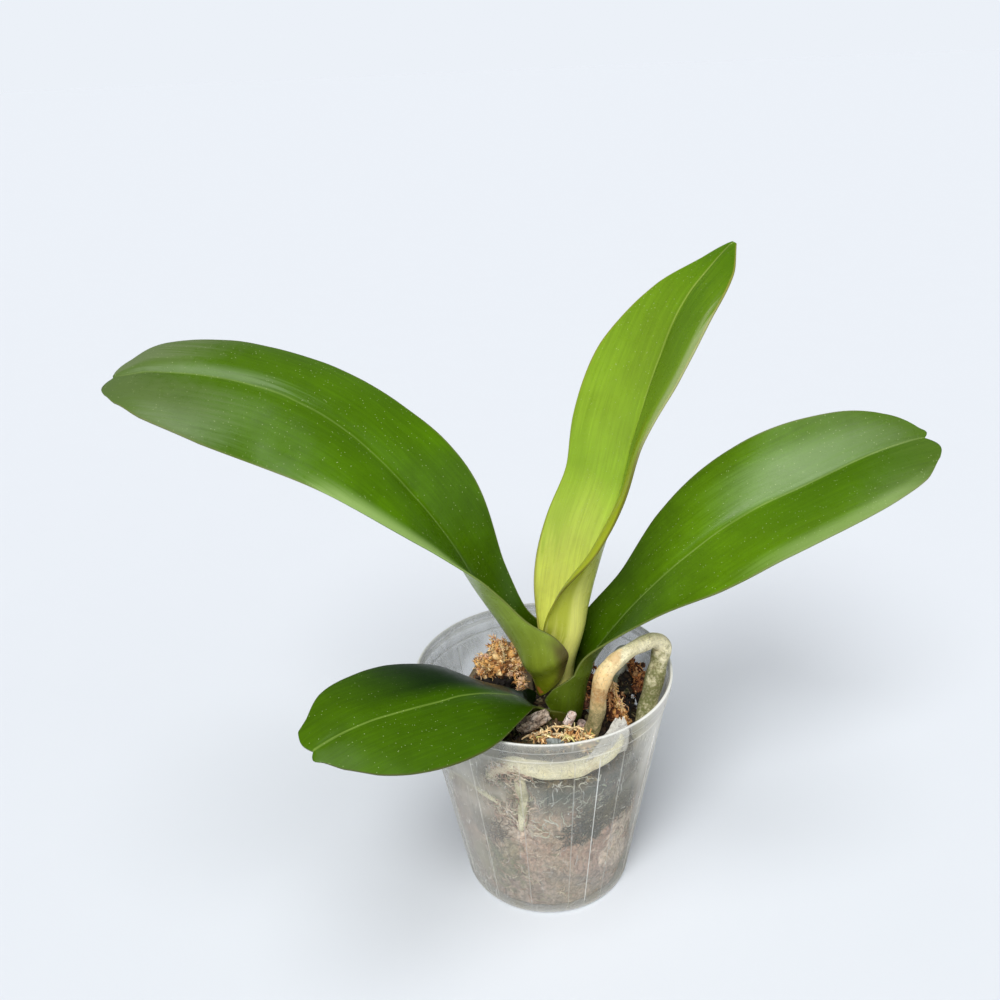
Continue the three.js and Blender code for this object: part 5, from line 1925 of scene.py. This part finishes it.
@dataclass
class Tuft:
    """A tuft of moss: rough clods and crumbs with crooked fibres and scaly sprigs on them.

    Each clod is x, y, z and a radius. Each sprig runs from one place to another.
    """

    name: str
    kind: MossKind
    clods: tuple[Four, ...]
    fibres: int
    crumbs: int
    seed: int
    stands_for: str = ""
    sprigs: tuple[tuple[Triple, Triple], ...] = ()
    bushy: int = 0
    shade: Pair = (0.05, 0.5)
    leafy: float = 5.0
    length: Pair = (1.6, 4.6)
    thickness: float = 0.42
    slot: str = "dry_moss"

    def __post_init__(self) -> None:
        """Starts the source of chance."""
        self.random = np.random.default_rng(self.seed)

    def heart(self) -> Shape:
        """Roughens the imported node's own form.

        Returns:
            The shape.
        """
        heart = remeshed(self.stands_for, 0.8)
        relief = 0.7 * rough_noise(heart.points, 2.6, 3, self.seed)
        heart.push_out(relief - 0.2)
        tint = 0.1 * (lattice_noise(heart.points, 3.0, self.seed) + 1)
        # A low run puts the heart in the moss finish's painted shade.
        heart.values = {"tint": tint, "run": np.clip(0.08 + 0.2 * relief, 0, 1)}
        return heart

    def body(self) -> tuple[Shape, Array, Array]:
        """Builds the clods and the crumbs on them.

        Returns:
            The shape, and the places and ways out of points on the clods.
        """
        random, rows = self.random, np.array(self.clods, float)
        sizes = rows[:, 3:] * random.uniform(0.85, 1.15, (len(rows), 3)) * (1, 1, 0.9)
        big = clods(
            rows[:, :3], sizes, 20, 0.42, self.seed, random.uniform(*self.shade, len(rows)))
        each = len(big.points) // len(rows)
        owner = np.repeat(rows[:, :3], each, axis=0)
        way = unit(big.points - owner)
        pick = random.integers(0, len(big.points), self.crumbs)
        size = random.uniform(0.45, 1.5, (self.crumbs, 1)) * random.uniform(
            0.6, 1.3, (self.crumbs, 3))
        small = clods(big.points[pick] + way[pick] * 0.2, size, 7, 0.6, self.seed + 3,
                      random.random(self.crumbs), 0.8)
        return joined([big, small]), big.points, way

    def hair(self, places: Array, ways: Array) -> Shape:
        """Grows short crooked fibres.

        Args:
            places: Where they may start.
            ways: The way out at each of those places.

        Returns:
            The fibres.
        """
        random, count, steps = self.random, self.fibres, 6
        pick = random.integers(0, len(places), count)
        way = unit(ways[pick] + random.normal(0, 0.6, (count, 3)))
        length = random.uniform(*self.length, count)
        paths = np.zeros((count, steps, 3))
        here = places[pick] - way * 0.4
        for k in range(steps):
            paths[:, k] = here
            way = unit(way + random.normal(0, 0.6, (count, 3)))
            here = here + way * (length / steps)[:, None]
        return strands(paths, random.uniform(0.45, 1.0, count) * self.thickness,
                       ([0, 0.4, 1], [0.8, 1, 0.25]), random.random(count))

    def scaly(self, start: Triple, end: Triple) -> list[Shape]:
        """Builds one dry sprig with small scale-like leaves round it.

        Args:
            start: One end.
            end: The other end.

        Returns:
            The stalk and its leaves.
        """
        random, a, b = self.random, np.array(start), np.array(end)
        length = float(np.linalg.norm(b - a))
        t = np.linspace(0, 1, 14)
        sway = random.normal(0, 1, 3) * length * 0.06
        path = a + (b - a) * t[:, None] + np.sin(math.pi * t)[:, None] * (sway + (0, 0, 0.8))
        tint = random.uniform(0.35, 0.95)
        stalk = strands(path[None], np.ones(1), ([0, 1], [0.55, 0.35]), np.array([tint]), 6)
        count = int(length * self.leafy)
        at = random.random(count)
        foot = np.stack([np.interp(at, t, path[:, k]) for k in range(3)], 1)
        ahead = unit(b - a)
        way = unit(random.normal(0, 1, (count, 3)) + ahead * 0.9)
        size = random.uniform(1.0, 3.0, count) * (1.1 - 0.5 * at)
        leaf = np.linspace(0, 1, 5)
        curl = unit(random.normal(0, 1, (count, 3)))
        paths = (foot[:, None] + way[:, None] * (size[:, None] * leaf)[..., None]
                 + (curl * size[:, None] * 0.45)[:, None] * (leaf ** 2)[None, :, None])
        tints = np.clip(tint + random.normal(0, 0.14, count), 0, 1)
        leaves = strands(paths, size * 0.13, ([0, 0.4, 1], [0.5, 1, 0.15]), tints, least=0.09)
        return [stalk, leaves]

    def build(self, finishes: dict[MossKind, Material]) -> None:
        """Builds and dresses the tuft.

        Args:
            finishes: The material of each moss.
        """
        body, places, ways = self.body()
        finish = finishes[self.kind]
        if self.stands_for:
            make_piece(self.name + "_heart", self.heart(), finishes[MossKind.DAMP],
                       [self.stands_for])
        make_piece(self.name + "_clods", body, finish)
        parts = [self.hair(places, ways)]
        for start, end in self.sprigs:
            parts += self.scaly(start, end)
        for k in self.random.integers(0, len(places), self.bushy):
            way = unit(ways[k] + self.random.normal(0, 0.6, 3) + (0, -0.2, 0.15))
            foot = places[k] - ways[k]
            parts += self.scaly(foot, foot + way * self.random.uniform(2.5, 5.5))
        make_piece(self.name + "_fibres", joined(parts), finish)


TUFTS = (
    Tuft("moss_tuft_left", MossKind.RUST, (
        (-21, 17, 103.5, 4.6), (-15.5, 16, 103.5, 3.8), (-25.5, 17.5, 104.5, 3.4),
        (-21, 18, 108.5, 3.6), (-19, 22, 110, 3.4), (-14, 21, 107, 3.4),
        (-27, 18, 99, 3), (-29, 20, 103, 2.8), (-10, 9, 97.5, 1.8), (-12, 14, 103, 2.6)),
         900, 70, 3, "moss_tuft_left", (
            ((-24, 12, 104), (-31, 12, 110)), ((-18, 12, 108), (-20, 14, 117)),
            ((-14, 12, 104), (-9, 11, 109)), ((-20, 21, 112), (-25, 22, 117)),
            ((-12, 9, 98), (-8, 8, 96))), 36, (0.1, 0.6), length=(1.8, 5.2),
         thickness=0.4),
    Tuft("moss_tuft_front", MossKind.TAN, (
        (2.5, -31, 93, 3.4), (9, -30.5, 93.5, 3.2), (-3.5, -30, 94, 3),
        (17, -34, 95, 2.4)), 340, 16, 8,
         "moss_tuft_front", (
            ((-6, -33, 98), (1, -32.5, 100.5)), ((0, -32.5, 101), (7, -31, 100.5)),
            ((6, -31, 101), (13, -31, 98.5)), ((-5, -32, 99), (3, -34, 96.5)),
            ((2, -33, 98.5), (9, -34.5, 97)), ((10, -31.5, 99), (16, -33, 100)),
            ((15, -34.5, 99.5), (20.5, -35, 96)), ((14, -33, 98), (19.5, -37, 98.5)),
            ((-7, -31.5, 97.5), (-12, -32, 95.5)), ((7, -33.5, 98), (12, -35.5, 95))),
         6, leafy=1.6, length=(3, 8.5), thickness=0.66),
    Tuft("moss_sprig_right", MossKind.RUST, (
        (32.5, -12, 93, 2.2), (36, -13, 89, 2)), 40, 10, 44, "", (
            ((30.4, -12, 112), (33, -13, 103)), ((32.6, -13, 104), (35.4, -14, 96)),
            ((30.8, -12, 110), (33.6, -13.5, 101)), ((33.6, -13.5, 101), (36.4, -14.5, 93)),
            ((35, -14, 97), (38, -15, 89)), ((34.4, -14, 99), (36.8, -15, 90))),
         leafy=7),
    Tuft("dark_heap", MossKind.DAMP, (
        (38.5, 4, 90, 3.8), (39, 5.5, 95, 3.3), (39.6, 7, 99.5, 2.8), (35, 2, 90, 4),
        (33, 8, 92, 4.5)), 60, 20, 51, shade=(0, 0.1), slot="moss_and_bark"),
    Tuft("moss_tuft_right", MossKind.BROWN, (
        (33, -9, 93, 4.2), (30.5, -4, 97, 3.6), (36, -6, 95, 3), (18.5, 2, 96, 4.2),
        (19.5, 2, 103, 3.6), (18, -6, 96, 3.2), (20, 4, 109, 2.6)), 420, 90, 21,
         "moss_tuft_right", (
            ((29, -9, 111), (31, -10, 103)), ((30.6, -10, 104), (34.5, -13, 95)),
            ((28.2, -11, 108), (29.5, -16, 98)), ((33, -12, 98), (37, -14, 93)),
            ((29.6, -10, 107), (32.6, -12, 99)),
            ((20, 0, 112), (17.5, -3, 104)), ((18, -4, 104), (16.5, -8, 96))), 16,
         (0, 0.22)),
    Tuft("moss_tuft_far_right", MossKind.BROWN, (
        (46, 9, 93, 3.6), (45.4, 9, 98.5, 3), (45, 8, 103.5, 2.2)), 240, 50, 34,
         "moss_tuft_far_right", (
            ((45, 6, 99), (42.5, 7, 108)), ((46, 5, 92), (45, 6, 100)),
            ((44, 6, 104), (43, 6, 111))), 8, (0, 0.25)),
    Tuft("front_heap", MossKind.DAMP, (
        (-12, -31, 90, 5), (-5, -33, 90.5, 4.6), (3, -34, 90, 4.6), (11, -33, 90, 4.6),
        (-8, -26, 93.5, 4.4), (1, -25, 94.5, 4.2), (9, -26, 93.5, 4)), 240, 230, 15,
         slot="moss_and_bark", thickness=0.3),
)


@dataclass
class Splinter:
    """A loose flake of wood or bark: its place, half its sizes, and its turns in degrees."""

    name: str
    finish: BarkFinish
    at: Triple
    size: Triple
    turns: Triple
    seed: int

    def build(self) -> None:
        """Builds and dresses the flake."""
        shape = clods(
            np.zeros((1, 3)), np.array([self.size]), 26, 0.22, self.seed, np.zeros(1), 0.6)
        turn = Euler(np.radians(self.turns).tolist()).to_matrix()
        shape.points = shape.points @ np.array(turn).T + self.at
        make_piece(self.name, shape, self.finish.build())


@dataclass
class Chip:
    """One loose chip of bark."""

    node: str
    finish: BarkFinish
    voxel: float = 0.45

    def build(self) -> None:
        """Roughens the chip's form and dresses it."""
        shape = remeshed(self.node, self.voxel, 2)
        layers = np.abs(lattice_noise(shape.points * (1, 1, 2.5), 3.2, 12)) * 0.5
        relief = 0.3 * rough_noise(shape.points, 2.5, 3, 4) - layers + 0.12
        shape.push_out(relief)
        make_piece(self.node + "_rough", shape, self.finish.build(), [self.node])


DARK_BARK = ((52, 38, 28), (104, 80, 58), (140, 126, 106))
CHIPS = (
    Chip("bark_chip_1", BarkFinish("grey_bark", (84, 78, 70), (150, 144, 134),
                                   (186, 180, 170), 0.7)),
    Chip("bark_chip_2", BarkFinish("pink_bark", (150, 118, 106), (216, 190, 180),
                                   (232, 216, 206), 0.6)),
    *(Chip(f"bark_chip_{k}", BarkFinish(f"dark_bark_{k}", *DARK_BARK)) for k in range(3, 8)),
)
SPLINTERS = (
    Splinter("moss_curl", BarkFinish("moss_curl", (150, 104, 76), (220, 184, 150),
                                     (236, 212, 184), 0.5),
             (-30, 19, 103), (1.1, 1.3, 4.4), (0, -16, 10), 13),
    Splinter("grey_flake", BarkFinish("grey_flake", (116, 98, 84), (196, 176, 156),
                                      (210, 200, 188), 0.5),
             (-6, -28, 102), (8, 2.2, 3.4), (10, -26, 6), 5),
    Splinter("pink_flake", BarkFinish("pink_flake", (214, 180, 168), (248, 234, 226),
                                      (252, 246, 240), 0.7),
             (10.2, -27, 102), (2.2, 1, 3.6), (0, 30, 20), 9),
    Splinter("stone_flake", BarkFinish("stone_flake", (92, 98, 96), (140, 148, 146),
                                       (176, 182, 178), 0.5),
             (3, -35.5, 95), (3.6, 1.6, 2.6), (0, 10, 0), 13),
)


# The studio


@dataclass
class Studio:
    """A pale floor, soft lights and the camera at the picture's viewing angle."""

    pitch: float = 23.49
    roll: float = -2.47
    eye: Triple = (-16.75, -398.05, 371.41)
    lens: float = 36.0
    floor_radius: float = 90.0
    floor_sides: int = 96

    def build(self) -> None:
        """Sets up the floor, the lights, the sky, the view and the camera."""
        self.floor()
        self.light("key_light", (-0.22, -0.65, 0.73), 30, 2.5)
        self.light("top_light", (0.05, -0.2, 0.97), 34, 1.0)
        self.light("fill_light", (0.65, -0.7, 0.3), 60, 0.6)
        self.sky()
        bpy.context.scene.view_settings.view_transform = "Standard"
        self.camera()

    def sky(self) -> None:
        """Gives the room a dim even light and a pale backdrop."""
        world = bpy.data.worlds.new("studio_sky")
        world.use_nodes = True
        graph = Graph(world.node_tree)
        dim = graph.feed(world.node_tree.nodes["Background"], Color=(238, 243, 251), Strength=0.22)
        pale = graph.node("ShaderNodeBackground", (236, 241, 248), 1.0)
        seen = graph.node("ShaderNodeLightPath").outputs["Is Camera Ray"]
        both = graph.node("ShaderNodeMixShader", seen, dim[0], pale.outputs[0])
        graph.feed(world.node_tree.nodes["World Output"], Surface=both.outputs[0])
        bpy.context.scene.world = world

    def floor(self) -> None:
        """Makes the floor, which isn't part of the object."""
        sides = self.floor_sides
        ring = around(1, circle(sides), 0)
        points = np.concatenate([ring * self.floor_radius, ring * 0.2, [[0, 0, 0]]])
        faces = ring_faces(2, sides)
        faces += [[*quad[3:1:-1], 2 * sides] for quad in faces]
        mesh = bpy.data.meshes.new("studio_floor")
        mesh.from_pydata(points.tolist(), [], faces)
        mesh.materials.append(StageFinish().build())
        floor = placed("studio_floor", mesh)
        floor.location = (0, 0, -0.0004)

    def light(self, name: str, way: Triple, spread: float, strength: float) -> None:
        """Hangs a broad soft light far away, so that it falls evenly on the whole floor.

        Args:
            name: The light's name.
            way: The way to it from the object.
            spread: How wide it looks from there, in degrees.
            strength: How strongly it shines.
        """
        data = bpy.data.lights.new(name, "SUN")
        data.angle = math.radians(spread)
        data.energy = strength
        lamp = placed(name, data)
        lamp.rotation_mode = "QUATERNION"
        lamp.rotation_quaternion = (-Vector(way)).to_track_quat("-Z", "Y")

    def camera(self) -> None:
        """Places the camera where the picture was taken from."""
        pitch, roll = math.radians(self.pitch), math.radians(self.roll)
        ahead = Vector((0, math.cos(pitch), -math.sin(pitch)))
        level, upright = Vector((1, 0, 0)), Vector((0, math.sin(pitch), math.cos(pitch)))
        right = level * math.cos(roll) + upright * math.sin(roll)
        up = upright * math.cos(roll) - level * math.sin(roll)
        data = bpy.data.cameras.new("studio_camera")
        data.lens = self.lens
        data.sensor_width = 36
        data.clip_start, data.clip_end = 0.01, 500
        camera = placed("studio_camera", data)
        place = Matrix((right, up, -ahead)).transposed().to_4x4()
        place.translation = Vector(self.eye) * MM
        camera.matrix_world = place
        bpy.context.scene.camera = camera


def main() -> None:
    """Builds and dresses each sub-assembly in turn."""
    Studio().build()
    root_skins = {finish.kind: finish.build() for finish in ROOT_FINISHES}
    mosses = {finish.kind: finish.build() for finish in MOSS_FINISHES}
    for leaf in LEAVES:
        leaf.build()
    Stem().build(root_skins[RootSkin.GREEN])
    for root in ROOTS:
        root.build(root_skins)
    PaperySkin().build(root_skins[RootSkin.PAPERY])
    pot = Pot()
    pot.build(PotFinish().build())
    Medium(pot, WALL_BEDS).build(PottedFinish().build(), mosses)
    for tuft in TUFTS:
        tuft.build(mosses)
    for flake in (*CHIPS, *SPLINTERS):
        flake.build()
    log.info("all pieces are in place")


if __name__ == "__main__":
    main()
